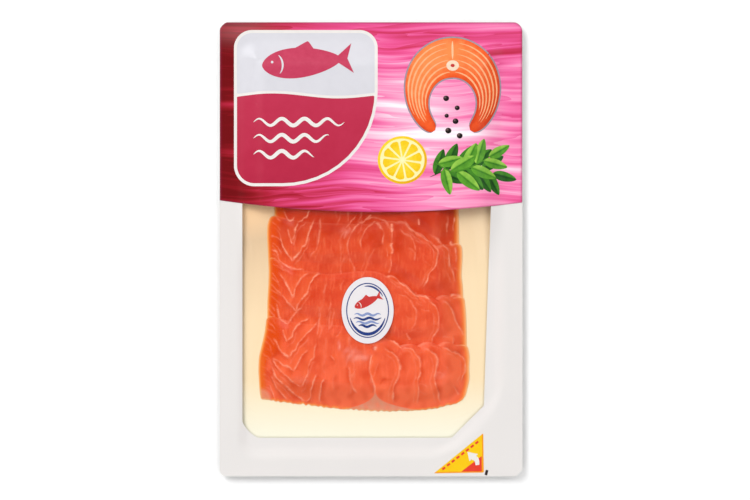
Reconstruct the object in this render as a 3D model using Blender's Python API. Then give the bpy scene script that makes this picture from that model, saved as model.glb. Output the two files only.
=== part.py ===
"""A flat sealed pack of salted salmon slices.

A shallow formed tray with a wide flange carries a gold card. Six shingled slices of salmon lie
on the card, each lower slice lying on the end of the one above it. A clear film is drawn over
them and sealed to the flange. A white frame is printed on the film and leaves a window, a wide
header label crosses the upper part, and an oval sticker sits in the middle.

Metres, +Z up. The pack lies on its back with its front up and its header towards +Y. The origin
is under the middle of the pack, on the surface that it lies on.
"""

import math

import bpy
import numpy as np

MM = 0.001

# Driving sizes of the pack.
PACK_WIDTH = 160 * MM
PACK_LENGTH = 240 * MM
FLANGE_WIDTH = 7.5 * MM
TRAY_WALL = 0.5 * MM
RIM_TOP = 4.2 * MM
CARD_THICKNESS = 1.2 * MM
SALMON_THICKNESS = 6.0 * MM
FILM_THICKNESS = 0.2 * MM

# Edges that turn by more than this stay sharp.
SHARP_ANGLE = math.radians(30)

# Clearances between pieces that touch.
LIE_GAP = 0.1 * MM
SOFT_GAP = 0.3 * MM

# Corners of the pack: how far each cut reaches along its sides, and how round it is. A roundness
# of 0 is a straight chamfer and 0.71 is a quarter circle.
LEFT_BOTTOM_CUT, LEFT_BOTTOM_ROUND = 3.4 * MM, 0.6
LEFT_TOP_CUT, LEFT_TOP_ROUND = 4.0 * MM, 0.35
RIGHT_TOP_CUT, RIGHT_TOP_ROUND = 4.5 * MM, 0.6
PEEL_CHAMFER = 3.3 * MM
PEEL_CORNER_CUT = 0.8 * MM
CORNER_STEPS = 5

# The tray's cavity. Its lower right corner is cut off, which leaves room to peel the film.
MOUTH_CORNER_CUT = 12 * MM
MOUTH_PEEL_CUT = 30.5 * MM
MOUTH_PEEL_CORNER_CUT = 7 * MM
ROUND_CORNER = 0.71
TRAY_FILLET = 1.2 * MM
TRAY_FILLET_STEPS = 2
TRAY_DRAFT = math.radians(18)
CARD_INSET = 3.1 * MM
CARD_EDGE_BEVEL = 0.25 * MM

# The window in the white frame.
WINDOW_LEFT = -68.0 * MM
WINDOW_BOTTOM = -99.2 * MM
WINDOW_TOP = 99.2 * MM
WINDOW_RIGHT_AT_CENTRE = 62.5 * MM
WINDOW_RIGHT_LEAN = 0.034
WINDOW_PEEL_CUT = 18 * MM
WINDOW_CORNER_CUT = 9 * MM
WINDOW_SHARP_CUT = 0.6 * MM

# The header label and the oval sticker.
HEADER_EDGE_Y = 25.3 * MM
HEADER_SAG = 5.7 * MM
HEADER_SAG_CENTRE_X = 4 * MM
HEADER_EDGE_STEPS = 24
HEADER_INSET = 0.15 * MM
HEADER_THICKNESS = 0.25 * MM
STICKER_CENTRE = (-1.8 * MM, -32.5 * MM)
STICKER_HALF_WIDTH = 13.7 * MM
STICKER_HALF_LENGTH = 17.8 * MM
STICKER_THICKNESS = 0.15 * MM
STICKER_STEPS = 36
PRINT_THICKNESS = 0.15 * MM

# The salmon. Each slice has an upper edge through these points, in mm, and leans between its left
# and right sides, which are given at its upper edge and at its lower end.
SLICE_EDGES_MM = (
    ((-60, 88), (-30, 82), (0, 80), (20, 76), (34, 71), (52, 72)),
    ((-60, 66), (-36, 59), (-5, 58), (16, 54), (30, 48), (52, 50)),
    ((-60, 43), (-38, 36), (-8, 35), (14, 33), (30, 26), (52, 27)),
    ((-60, 21), (-38, 14.5), (-4, 14), (15, 14), (26, 7), (35, 0.5), (44, 3), (52, 3.5)),
    ((-60, 0), (-40, -9.9), (-27, -12), (7, -13.8), (18, -20), (27, -25.5), (36, -26), (52, -24.5)),
    ((-64, -33), (-37, -38.5), (7, -46.5), (16, -51.5), (26, -50.8), (37, -50.6), (58, -50.4)),
)
SLICE_LEFT_MM = ((-53.4, -54), (-54.6, -54), (-54, -54.6), (-54.4, -53.6), (-54, -57.5), (-56.6, -59.4))
SLICE_RIGHT_MM = ((45, 45.6), (46.2, 45.4), (45.6, 46.4), (46.6, 48), (48.2, 51), (51, 52))
END_MM = (
    (-62, -78.8), (-50, -80.4), (-37, -82), (-21, -84), (-8, -85.1), (5, -85.7), (21, -85.6),
    (36, -83.8), (48, -80.6), (58, -76),
)
OVERLAP = 17.5 * MM
EDGE_THICKNESS = 1.0 * MM
EDGE_ROUNDING = 0.35 * MM
EDGE_ROUNDING_WIDTH = 2 * MM
HOLLOW_START = 3.5 * MM
HOLLOW_END = 10.5 * MM
SIDE_ROUND = 3.5 * MM
SIDE_FOOT = 0.14
TOP_CORNER_ROUND = 3.0 * MM
END_CORNER_ROUND = 7.0 * MM
END_ROUND = 5.0 * MM
THIN_END = 0.5 * MM

# The flakes, which end in bowed rims on the right. Shares run across a slice from left to right.
FLAKE_RIMS = (0.655, 0.755, 0.862, 0.95)
FIRST_VISIBLE_SLICE = 3
FLAKE_STEP = 0.006
FLAKE_STEPS_SEEN, FLAKE_STEPS_HIDDEN = 5, 3
FLAKE_RISE = 0.4 * MM
FLAKE_BOW = 5.0 * MM
FLAKE_SCALLOP = 2.4 * MM
BOW_START, BOW_PEAK = 0.5, 0.78
SEAM_SHARE = 0.645
SEAM_WIDTH = 0.008
SEAM_DEPTH = 0.5 * MM

# The film. Below the header it sinks to the card round the salmon.
FILM_LEDGE = 1.0 * MM
FILM_SINK = 1.7 * MM
FILM_SINK_WIDTH = 8 * MM
FILM_MARGIN = 1.8 * MM
FILM_SKIRT = 7 * MM
FILM_BRIDGE_WIDTH = 16 * MM
BRIDGE_END_Y = 22 * MM
BRIDGE_FADE = 35 * MM
FILM_BLEND = 0.3 * MM
SALMON_UPPER_END_Y = 92 * MM
SALMON_SIDES_UPPER = (-54.6 * MM, 48 * MM)
SALMON_SIDES_LOWER = (-59.4 * MM, 52 * MM)
LEAN_START_Y = -5 * MM
LEAN_LENGTH = 60 * MM

# Heights that follow from the sizes.
FLOOR_TOP = TRAY_WALL
CARD_BOTTOM = FLOOR_TOP + LIE_GAP
CARD_TOP = CARD_BOTTOM + CARD_THICKNESS
SALMON_BASE = CARD_TOP + 1.5 * LIE_GAP
SALMON_TOP = SALMON_BASE + SALMON_THICKNESS
FILM_ON_RIM = RIM_TOP + LIE_GAP
FILM_OVER_SALMON = SALMON_TOP + FLAKE_RISE + SOFT_GAP
PRINT_LIFT = FILM_THICKNESS + LIE_GAP
HEADER_LIFT = PRINT_LIFT + PRINT_THICKNESS + LIE_GAP
CUTTER_REACH = 20 * MM

# The film's grid lines, closer where it bends.
GRID_X = (
    -81, -72.5, -70, -67, -63.5, -60, -57, -53, -40, -24, -8,
    8, 24, 38, 46, 50, 53.5, 57, 60.5, 64, 67, 70, 72.5, 81,
)
GRID_Y = (
    -121, -112.5, -109.5, -106, -101, -96, -92, -88, -84, -74, -58, -40,
    -20, -5, 8, 18, 30, 50, 72, 90, 99, 106, 112.5, 121,
)

# The finishes, as colour, roughness, metallic and alpha.
FINISHES = {
    "white_tray_plastic": ((0.90, 0.90, 0.89), 0.35, 0.0, 1.0),
    "gold_card": ((0.96, 0.80, 0.52), 0.40, 0.15, 1.0),
    "salmon_flesh": ((0.85, 0.14, 0.05), 0.35, 0.0, 1.0),
    "clear_film": ((0.95, 0.96, 0.97), 0.12, 0.0, 0.18),
    "white_print": ((0.86, 0.84, 0.82), 0.35, 0.0, 1.0),
    "header_print": ((0.62, 0.06, 0.18), 0.30, 0.0, 1.0),
    "sticker_paper": ((0.88, 0.86, 0.86), 0.45, 0.0, 1.0),
}


def clear_scene():
    """Removes every object that the file opens with."""
    for obj in list(bpy.data.objects):
        bpy.data.objects.remove(obj)


def material(name):
    """Makes or finds the Principled material of that finish."""
    found = bpy.data.materials.get(name)
    if found:
        return found
    colour, roughness, metallic, alpha = FINISHES[name]
    made = bpy.data.materials.new(name)
    made.use_nodes = True
    shader = made.node_tree.nodes["Principled BSDF"]
    shader.inputs["Base Color"].default_value = (*colour, 1)
    shader.inputs["Roughness"].default_value = roughness
    shader.inputs["Metallic"].default_value = metallic
    shader.inputs["Alpha"].default_value = alpha
    return made


def add_object(name, points, faces, finish):
    """Puts a mesh of those points and faces into the scene, under that name and finish."""
    mesh = bpy.data.meshes.new(name)
    mesh.from_pydata([tuple(p) for p in points], [], [tuple(f) for f in faces])
    mesh.materials.append(material(finish))
    mesh.shade_smooth()
    mesh.set_sharp_from_angle(angle=SHARP_ANGLE)
    obj = bpy.data.objects.new(name, mesh)
    bpy.context.scene.collection.objects.link(obj)
    return obj


def smoothstep(t):
    """0 below 0, 1 above 1 and an even S between."""
    t = np.clip(t, 0, 1)
    return t * t * (3 - 2 * t)


def smooth_max(a, b, blend):
    """The larger of two heights, with the crease between them rounded over."""
    return (a + b + np.sqrt((a - b) ** 2 + blend**2)) / 2


# Outlines -------------------------------------------------------------------------------------


def inset_corners(corners, distance):
    """A polygon's corners, anticlockwise, moved in until each side has moved by that distance."""
    corners = np.asarray(corners, float)
    moved = []
    for i, corner in enumerate(corners):
        before = corner - corners[i - 1]
        after = corners[(i + 1) % len(corners)] - corner
        before /= np.linalg.norm(before)
        after /= np.linalg.norm(after)
        inward = np.array([-before[1], before[0]]) + np.array([-after[1], after[0]])
        inward /= 1 + before @ after
        moved.append(corner + inward * distance)
    return np.array(moved)


def cut_outline(corners, cuts, roundness):
    """An outline with every corner cut off along a conic of that roundness."""
    corners = np.asarray(corners, float)
    t = np.linspace(0, 1, CORNER_STEPS + 1)[:, None]
    points = []
    for i, corner in enumerate(corners):
        before = corners[i - 1] - corner
        after = corners[(i + 1) % len(corners)] - corner
        start = corner + before / np.linalg.norm(before) * cuts[i]
        end = corner + after / np.linalg.norm(after) * cuts[i]
        weights = (1 - t) ** 2, 2 * roundness[i] * t * (1 - t), t**2
        points.append((weights[0] * start + weights[1] * corner + weights[2] * end) / sum(weights))
    return np.concatenate(points)


def pack_outline(inset=0.0):
    """The outer outline of the pack, from the peel corner round to it, anticlockwise."""
    x, y = PACK_WIDTH / 2, PACK_LENGTH / 2
    corners = [(x, -y + PEEL_CHAMFER), (x, y), (-x, y), (-x, -y), (x - PEEL_CHAMFER, -y)]
    cuts = (PEEL_CORNER_CUT, RIGHT_TOP_CUT, LEFT_TOP_CUT, LEFT_BOTTOM_CUT, PEEL_CORNER_CUT)
    roundness = (ROUND_CORNER, RIGHT_TOP_ROUND, LEFT_TOP_ROUND, LEFT_BOTTOM_ROUND, ROUND_CORNER)
    return cut_outline(inset_corners(corners, inset), cuts, roundness)


def mouth_corners():
    """The corners of the tray's cavity where it meets the flange."""
    x, y = PACK_WIDTH / 2 - FLANGE_WIDTH, PACK_LENGTH / 2 - FLANGE_WIDTH
    return [(x, -y + MOUTH_PEEL_CUT), (x, y), (-x, y), (-x, -y), (x - MOUTH_PEEL_CUT, -y)]


def mouth_outline(inset=0.0):
    """The outline of the tray's cavity, moved in by that much."""
    wide, peel = MOUTH_CORNER_CUT - inset, MOUTH_PEEL_CORNER_CUT - inset / 2
    corners = inset_corners(mouth_corners(), inset)
    return cut_outline(corners, (peel, wide, wide, wide, peel), (ROUND_CORNER,) * 5)


def window_outline():
    """The outline of the window. Its right side leans, and its peel corner is a plain chamfer."""
    right_top = WINDOW_RIGHT_AT_CENTRE + WINDOW_RIGHT_LEAN * WINDOW_TOP
    peel_y = WINDOW_BOTTOM + WINDOW_PEEL_CUT
    right_peel = WINDOW_RIGHT_AT_CENTRE + WINDOW_RIGHT_LEAN * peel_y
    corners = [
        (right_peel, peel_y),
        (right_top, WINDOW_TOP),
        (WINDOW_LEFT, WINDOW_TOP),
        (WINDOW_LEFT, WINDOW_BOTTOM),
        (right_peel - WINDOW_PEEL_CUT, WINDOW_BOTTOM),
    ]
    sharp, wide = WINDOW_SHARP_CUT, WINDOW_CORNER_CUT
    return cut_outline(corners, (sharp, wide, wide, wide, sharp), (ROUND_CORNER,) * 5)


def header_edge_y(x):
    """The curved lower edge of the header label."""
    share = (x - HEADER_SAG_CENTRE_X) / (PACK_WIDTH / 2)
    return HEADER_EDGE_Y - HEADER_SAG * (1 - share**2)


def header_outline():
    """The header label: the pack's two upper corners and a curved lower edge."""
    outer = pack_outline(HEADER_INSET)
    upper = outer[outer[:, 1] > HEADER_EDGE_Y]
    x = np.linspace(upper[-1, 0], upper[0, 0], HEADER_EDGE_STEPS + 1)
    return np.concatenate([upper, np.stack([x, header_edge_y(x)], axis=1)])


def sticker_outline():
    """The oval sticker."""
    turn = np.linspace(0, 2 * math.pi, STICKER_STEPS, endpoint=False)
    x = STICKER_CENTRE[0] + STICKER_HALF_WIDTH * np.cos(turn)
    return np.stack([x, STICKER_CENTRE[1] + STICKER_HALF_LENGTH * np.sin(turn)], axis=1)


# Solids from loops ----------------------------------------------------------------------------


def skin(name, loops, finish):
    """A closed solid over a list of loops of equal length, with its first and last loop capped."""
    count = len(loops[0])
    faces = [tuple(range(count))[::-1]]
    for k in range(len(loops) - 1):
        low, high = k * count, (k + 1) * count
        for i in range(count):
            j = (i + 1) % count
            faces.append((low + i, low + j, high + j, high + i))
    last = (len(loops) - 1) * count
    faces.append(tuple(range(last, last + count)))
    return add_object(name, np.concatenate(loops), faces, finish)


def loop_at(outline, z):
    """A flat outline lifted to a height."""
    return np.column_stack([outline, np.full(len(outline), z)])


def tray_profile(offset):
    """The section of the tray wall as inset and height, from the flange down to the floor.

    An offset of 0 gives the upper face, and the wall's thickness gives the lower face.
    """
    swing = math.pi / 2 - TRAY_DRAFT
    angles = np.linspace(0, swing, TRAY_FILLET_STEPS + 1)
    upper, lower = TRAY_FILLET - offset, TRAY_FILLET + offset
    fall = RIM_TOP - FLOOR_TOP - 2 * TRAY_FILLET * (1 - math.cos(swing))
    run = 2 * TRAY_FILLET * math.sin(swing) + fall * math.tan(TRAY_DRAFT)
    rim = [(upper * math.sin(a), RIM_TOP - TRAY_FILLET + upper * math.cos(a)) for a in angles]
    foot = [
        (run - lower * math.sin(a), FLOOR_TOP + TRAY_FILLET - lower * math.cos(a))
        for a in angles[::-1]
    ]
    return rim + foot


def build_tray():
    """The formed tray: a flat flange and a shallow cavity with sloped walls and a flat floor."""
    inside = [loop_at(mouth_outline(inset), z) for inset, z in tray_profile(0.0)]
    outside = [loop_at(mouth_outline(inset), z) for inset, z in tray_profile(TRAY_WALL)]
    flange = [loop_at(pack_outline(), RIM_TOP - TRAY_WALL), loop_at(pack_outline(), RIM_TOP)]
    return skin("tray", outside[::-1] + flange + inside, "white_tray_plastic")


def build_card():
    """The gold card on the tray's floor, with its edges slightly eased."""
    full, eased = mouth_outline(CARD_INSET), mouth_outline(CARD_INSET + CARD_EDGE_BEVEL)
    loops = [
        loop_at(eased, CARD_BOTTOM),
        loop_at(full, CARD_BOTTOM + CARD_EDGE_BEVEL),
        loop_at(full, CARD_TOP - CARD_EDGE_BEVEL),
        loop_at(eased, CARD_TOP),
    ]
    return skin("gold_card", loops, "gold_card")


# The salmon -----------------------------------------------------------------------------------


def curve_y(points_mm, x):
    """The y of a smooth curve that passes through those points, at every x."""
    points = np.asarray(points_mm, float) * MM
    px, py = points[:, 0], points[:, 1]
    slope = np.gradient(py, px)
    k = np.clip(np.searchsorted(px, x) - 1, 0, len(px) - 2)
    width = px[k + 1] - px[k]
    t = np.clip((x - px[k]) / width, 0, 1)
    from_left = (1 + 2 * t) * (1 - t) ** 2 * py[k] + t * (1 - t) ** 2 * width * slope[k]
    from_right = t * t * (3 - 2 * t) * py[k + 1] - t * t * (1 - t) * width * slope[k + 1]
    return from_left + from_right


def corner_pull(distance, radius):
    """How far an outline is drawn in at that distance from its end, to round the corner."""
    left = np.clip(radius - distance, 0, radius)
    return radius - np.sqrt(radius**2 - left**2)


def flake_share(u):
    """Where each point lies within its flake: 0 just past one rim and 1 on the next rim."""
    share = np.zeros_like(u)
    for left, right in zip(FLAKE_RIMS[:-1], FLAKE_RIMS[1:]):
        inside = (u > left) & (u <= right)
        share[inside] = np.clip((u[inside] - left - FLAKE_STEP) / (right - left - FLAKE_STEP), 0, 1)
    return share


def flake_columns(steps):
    """The shares across a slice at which its solid has points, closer at the sides and rims.

    Each flake has that many steps from its left side to its rim.
    """
    side = [0, 0.007, 0.019, 0.036]
    plain = np.linspace(0.09, SEAM_SHARE - 3 * SEAM_WIDTH, 4 * steps - 4)
    seam = [SEAM_SHARE - SEAM_WIDTH, SEAM_SHARE, SEAM_SHARE + SEAM_WIDTH]
    flakes = [FLAKE_RIMS[0] + 2 * FLAKE_STEP]
    for low, high in zip(FLAKE_RIMS[:-1], FLAKE_RIMS[1:]):
        flakes += list(np.linspace(low + FLAKE_STEP, high, steps + 1))
    flakes = sorted(share for share in flakes if share > seam[-1] + FLAKE_STEP / 2)
    last = [FLAKE_RIMS[-1] + FLAKE_STEP, 0.967, 0.983, 0.994, 1]
    return np.array(side + list(plain) + seam + flakes + last)


def overlap_height(past_edge):
    """The underside of a slice: flat on the card, then up a slope over the slice above it."""
    climb = np.clip(1 + past_edge / OVERLAP, 0, 1)
    return SALMON_BASE + (SALMON_THICKNESS - EDGE_THICKNESS) * climb


class Slice:
    """One slice of salmon. Both of its faces are heights over the plane, row by row."""

    def __init__(self, index):
        self.index = index
        self.is_first = index == 0
        self.is_last = index == len(SLICE_EDGES_MM) - 1
        self.steps = FLAKE_STEPS_SEEN if index >= FIRST_VISIBLE_SLICE else FLAKE_STEPS_HIDDEN
        self.length = float(np.ptp([self.edge_y(0.0), self.low_y(0.0)]))

    def edge_y(self, x):
        """The mean upper edge of this slice."""
        return curve_y(SLICE_EDGES_MM[self.index], x)

    def next_y(self, x):
        """The mean upper edge of the slice that lies on this one."""
        return curve_y(SLICE_EDGES_MM[self.index + 1], x)

    def low_y(self, x):
        """The lower end of the slice, which lies under the next one except on the last."""
        if self.is_last:
            return curve_y(END_MM, x)
        climb = THIN_END / (SALMON_THICKNESS - EDGE_THICKNESS)
        return self.next_y(x) + OVERLAP * (climb - 1) + SOFT_GAP

    def scallop(self, u):
        """How far each point of the upper edge stands past the slice's mean edge."""
        flakes = FLAKE_SCALLOP * np.sin(math.pi * flake_share(u)) ** 0.7
        waves = 0.7 * MM * np.sin(9 * u + 2.1 * self.index)
        return flakes + waves * smoothstep(u / 0.1) * smoothstep((FLAKE_RIMS[0] - u) / 0.1)

    def across(self, u, v):
        """The x of a share u across the slice and v along it, from its lower end."""
        left_top, left_low = np.array(SLICE_LEFT_MM[self.index]) * MM
        right_top, right_low = np.array(SLICE_RIGHT_MM[self.index]) * MM
        from_top, from_end = (1 - v) * self.length, v * self.length
        left = left_low + (left_top - left_low) * v + corner_pull(from_top, TOP_CORNER_ROUND)
        right = right_low + (right_top - right_low) * v - corner_pull(from_top, TOP_CORNER_ROUND)
        if self.is_last:
            left += corner_pull(from_end, END_CORNER_ROUND) / 3
            right -= corner_pull(from_end, END_CORNER_ROUND)
        seen = 1.0 if self.is_last else 1 - OVERLAP / self.length
        bow = np.clip(1 - ((1 - v) / seen * 2 - 1) ** 2, 0, 1)
        weight = smoothstep((u - BOW_START) / (BOW_PEAK - BOW_START))
        weight = weight * smoothstep((1 - u) / (1 - BOW_PEAK))
        return left + u * (right - left) + FLAKE_BOW * weight * bow

    def place(self, u, v, lines):
        """The x and y of shares u and v.

        lines gives the rows that the mesh follows exactly, as their shares and their y over x.
        The other rows are spread evenly between them.
        """
        x = self.across(u, v)
        shares = [share for share, _ in lines]
        heights = [line_y(x) if line_y else self.edge_y(x) + self.scallop(u) for _, line_y in lines]
        k = np.clip(np.searchsorted(shares, v[:, :1], side="right") - 1, 0, len(lines) - 2)[:, 0]
        low = np.array([heights[i][r] for r, i in enumerate(k)])
        high = np.array([heights[i + 1][r] for r, i in enumerate(k)])
        low_share = np.array(shares)[k][:, None]
        high_share = np.array(shares)[k + 1][:, None]
        return x, low + (v - low_share) / (high_share - low_share) * (high - low)

    def top_lines(self):
        """The rows that the upper face follows: its ends, and the edge of the slice on it."""
        if self.is_last:
            return [(0, self.low_y), (1, None)]
        return [(0, self.low_y), (self.crease(), self.next_y), (1, None)]

    def under_lines(self):
        """The rows that the underside follows: its ends, and where it leaves the card."""
        return [(0, self.low_y), (1 - OVERLAP / self.length, self.slope_y), (1, None)]

    def slope_y(self, x):
        """Where the underside leaves the card and starts to climb."""
        return self.edge_y(x) - OVERLAP

    def crease(self):
        """The share of the slice that lies under the next one."""
        return (self.next_y(0.0) - self.low_y(0.0)) / self.length

    def under_height(self, x, y):
        """The height of the lower face."""
        if self.is_first:
            return np.full_like(y, SALMON_BASE)
        return overlap_height(y - self.edge_y(x))

    def top_height(self, u, v, x, y):
        """The upper face: the bed of the next slice, a hollow past its edge, and the flakes."""
        under = self.under_height(x, y)
        top = np.full_like(y, SALMON_TOP)
        flakes_seen = np.ones_like(y)
        if not self.is_last:
            past_next = y - self.next_y(x)
            bed = overlap_height(past_next) - SOFT_GAP
            out = smoothstep((past_next - HOLLOW_START) / (HOLLOW_END - HOLLOW_START))
            top = bed + (SALMON_TOP - bed) * out
            flakes_seen = smoothstep(past_next / HOLLOW_END)
        top = top + FLAKE_RISE * flake_share(u) * flakes_seen
        seam = np.maximum(1 - np.abs(u - SEAM_SHARE) / SEAM_WIDTH, 0)
        top = top - SEAM_DEPTH * seam * flakes_seen
        top = top - EDGE_ROUNDING * (1 - smoothstep((1 - v) * self.length / EDGE_ROUNDING_WIDTH))
        side = np.minimum(u, 1 - u) * (SLICE_RIGHT_MM[self.index][0] - SLICE_LEFT_MM[self.index][0]) * MM
        side = side / SIDE_ROUND
        if self.is_last:
            side = np.minimum(side, v * self.length / END_ROUND)
        side = np.clip(side, 0, 1)
        full = SIDE_FOOT + (1 - SIDE_FOOT) * np.sqrt(1 - (1 - side) ** 2)
        return under + (top - under) * full

    def corner_rows(self):
        """The shares of the rows that round the corners, which both faces have."""
        upper = [1 - distance * MM / self.length for distance in (3, 2, 1, 0)]
        lower = [distance * MM / self.length for distance in (0, 0.5, 1.5, 3, 5)] if self.is_last else [0]
        return lower + upper

    def top_rows(self):
        """The shares from the lower end to the upper edge at which the upper face has points."""
        corners = self.corner_rows()
        if self.is_last:
            return np.unique(corners + list(np.linspace(corners[4], corners[5], 2 * self.steps + 1)))
        hollow = self.crease() + np.linspace(HOLLOW_START, HOLLOW_END, self.steps) / self.length
        rest = np.linspace(hollow[-1], corners[1], 2 * self.steps - 1)
        return np.unique(corners + [self.crease()] + list(hollow) + list(rest))

    def under_rows(self):
        """The same for the underside, which is plain between its bend and its edges."""
        return np.unique(self.corner_rows() + [share for share, _ in self.under_lines()])

    def build(self):
        """The solid: an upper face, an underside and the walls between them."""
        columns = flake_columns(self.steps)
        u, v = np.meshgrid(columns, self.top_rows())
        x, y = self.place(u, v, self.top_lines())
        upper = np.stack([x, y, self.top_height(u, v, x, y)], axis=-1)
        u, v = np.meshgrid(columns, self.under_rows())
        x, y = self.place(u, v, self.under_lines())
        under = np.stack([x, y, self.under_height(x, y)], axis=-1)
        rows, count = upper.shape[:2]
        base, low_rows = rows * count, under.shape[0]
        faces = []
        for a in (r * count + c for r in range(rows - 1) for c in range(count - 1)):
            faces.append((a, a + 1, a + count + 1, a + count))
        for a in (base + r * count + c for r in range(low_rows - 1) for c in range(count - 1)):
            faces.append((a, a + count, a + count + 1, a + 1))
        for c in range(count - 1):
            faces.append((base + c, base + c + 1, c + 1, c))
            a, b = base + (low_rows - 1) * count + c, (rows - 1) * count + c
            faces.append((a + 1, a, b, b + 1))
        for side in (0, count - 1):
            above = [r * count + side for r in range(rows)]
            below = [base + r * count + side for r in range(low_rows)]
            faces += stitch(above, below, upper[:, side, 1], under[:, side, 1], side == 0)
        points = np.concatenate([upper.reshape(-1, 3), under.reshape(-1, 3)])
        return add_object(f"salmon_slice_{self.index + 1}", points, faces, "salmon_flesh")


def stitch(above, below, above_y, below_y, faces_left):
    """Triangles between two rows of points that run the same way and share their ends."""
    faces = []
    i = j = 0
    while i < len(above) - 1 or j < len(below) - 1:
        move_above = j == len(below) - 1 or (i < len(above) - 1 and above_y[i + 1] <= below_y[j + 1])
        face = (below[j], above[i], above[i + 1] if move_above else below[j + 1])
        faces.append(face if faces_left else face[::-1])
        if move_above:
            i += 1
        else:
            j += 1
    return faces


# The film and what lies on it -----------------------------------------------------------------


def inside_distance(x, y):
    """How far a point lies inside the rounded mouth of the tray, and negative outside it."""
    corners = np.asarray(mouth_corners())
    nearness = []
    distances = []
    for i, corner in enumerate(corners):
        along = corners[(i + 1) % len(corners)] - corner
        along /= np.linalg.norm(along)
        distance = along[0] * (y - corner[1]) - along[1] * (x - corner[0])
        distances.append(distance)
        nearness.append(np.maximum(MOUTH_CORNER_CUT - distance, 0))
    corner_distance = MOUTH_CORNER_CUT - np.linalg.norm(nearness, axis=0)
    return corner_distance + np.maximum(np.min(distances, axis=0) - MOUTH_CORNER_CUT, 0)


def outside_salmon(x, y):
    """How far a point lies outside a line drawn with a small margin round all the slices."""
    lean = smoothstep((LEAN_START_Y - y) / LEAN_LENGTH)
    left, right = SALMON_SIDES_UPPER[0], SALMON_SIDES_UPPER[1]
    left = left + (SALMON_SIDES_LOWER[0] - left) * lean
    right = right + (SALMON_SIDES_LOWER[1] - right) * lean
    across = np.maximum(np.maximum(left - x, x - right), 0)
    along = np.maximum(np.maximum(curve_y(END_MM, x) - y, y - SALMON_UPPER_END_Y), 0)
    return np.maximum(np.hypot(across, along) - FILM_MARGIN, 0)


def film_height(x, y):
    """The underside of the film: taut under the header, and sunk to the card below it."""
    inside = np.maximum(inside_distance(x, y) - FILM_LEDGE, 0)
    bridge = FILM_ON_RIM + (FILM_OVER_SALMON - FILM_ON_RIM) * smoothstep(inside / FILM_BRIDGE_WIDTH)
    border = FILM_ON_RIM - FILM_SINK * smoothstep(inside / FILM_SINK_WIDTH)
    fall = FILM_OVER_SALMON - (FILM_ON_RIM - FILM_SINK)
    drape = FILM_OVER_SALMON - fall * smoothstep(outside_salmon(x, y) / FILM_SKIRT)
    sunk = smooth_max(border, drape, FILM_BLEND)
    sunk = np.where(inside > 0, sunk, FILM_ON_RIM)
    share = smoothstep((BRIDGE_END_Y - y) / BRIDGE_FADE)
    return bridge * (1 - share) + sunk * share


def film_slab(name, lift, thickness, finish):
    """A sheet that lies that far above the film's underside, on the film's own grid."""
    x, y = np.meshgrid(np.array(GRID_X) * MM, np.array(GRID_Y) * MM)
    z = film_height(x, y) + lift
    rows, count = x.shape
    low = np.stack([x, y, z], axis=-1).reshape(-1, 3)
    high = low + (0, 0, thickness)
    faces = []
    for r in range(rows - 1):
        for c in range(count - 1):
            a, b, d, e = (r * count + c, r * count + c + 1, (r + 1) * count + c + 1, (r + 1) * count + c)
            over = rows * count
            faces += [(a, d, b), (a, e, d), (a + over, b + over, d + over), (a + over, d + over, e + over)]
    rim = [(0, c) for c in range(count)] + [(r, count - 1) for r in range(1, rows)]
    rim += [(rows - 1, c) for c in range(count - 2, -1, -1)] + [(r, 0) for r in range(rows - 2, 0, -1)]
    ids = [r * count + c for r, c in rim]
    for i, j in zip(ids, ids[1:] + ids[:1]):
        faces.append((i, j, j + rows * count, i + rows * count))
    return add_object(name, np.concatenate([low, high]), faces, finish)


def cutter(name, outline):
    """A tall hidden prism that trims a sheet."""
    prism = skin(name, [loop_at(outline, -CUTTER_REACH), loop_at(outline, CUTTER_REACH)], "white_print")
    prism.hide_render = True
    prism.display_type = "WIRE"
    return prism


def trim(obj, prism, operation):
    """Adds the Boolean that keeps what is inside the prism, or cuts it away."""
    modifier = obj.modifiers.new(prism.name, "BOOLEAN")
    modifier.operation = operation
    modifier.object = prism
    return obj


def build_sheets():
    """The clear film, the white frame printed on it, the header label and the oval sticker."""
    pack = cutter("pack_cutter", pack_outline())
    window = cutter("window_cutter", window_outline())
    header = cutter("header_cutter", header_outline())
    sticker = cutter("sticker_cutter", sticker_outline())
    film = film_slab("clear_film", 0.0, FILM_THICKNESS, "clear_film")
    trim(film, pack, "INTERSECT")
    frame = film_slab("white_frame", PRINT_LIFT, PRINT_THICKNESS, "white_print")
    trim(trim(frame, pack, "INTERSECT"), window, "DIFFERENCE")
    label = film_slab("header_label", HEADER_LIFT, HEADER_THICKNESS, "header_print")
    trim(label, header, "INTERSECT")
    oval = film_slab("oval_sticker", PRINT_LIFT, STICKER_THICKNESS, "sticker_paper")
    trim(oval, sticker, "INTERSECT")


def main():
    """Builds the pack from the tray up."""
    clear_scene()
    build_tray()
    build_card()
    for index in range(len(SLICE_EDGES_MM)):
        Slice(index).build()
    build_sheets()


main()
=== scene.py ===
"""The looks of a flat sealed pack of salted salmon slices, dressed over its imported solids.

A thermoformed tray carries a gold card and six shingled slices of cured salmon. A clear lidding
film with a white printed frame is drawn over them. A wide header label crosses the upper part, an
oval sticker sits in the middle and a printed flash marks the peel corner.

Lengths are millimetres, except where a mesh, a light or the camera takes metres. +Z is up, the
pack lies on its back and its header points to +Y.
"""

from __future__ import annotations

import logging
import math
from collections.abc import Callable
from dataclasses import dataclass, field
from enum import Enum
from functools import partial

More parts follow.
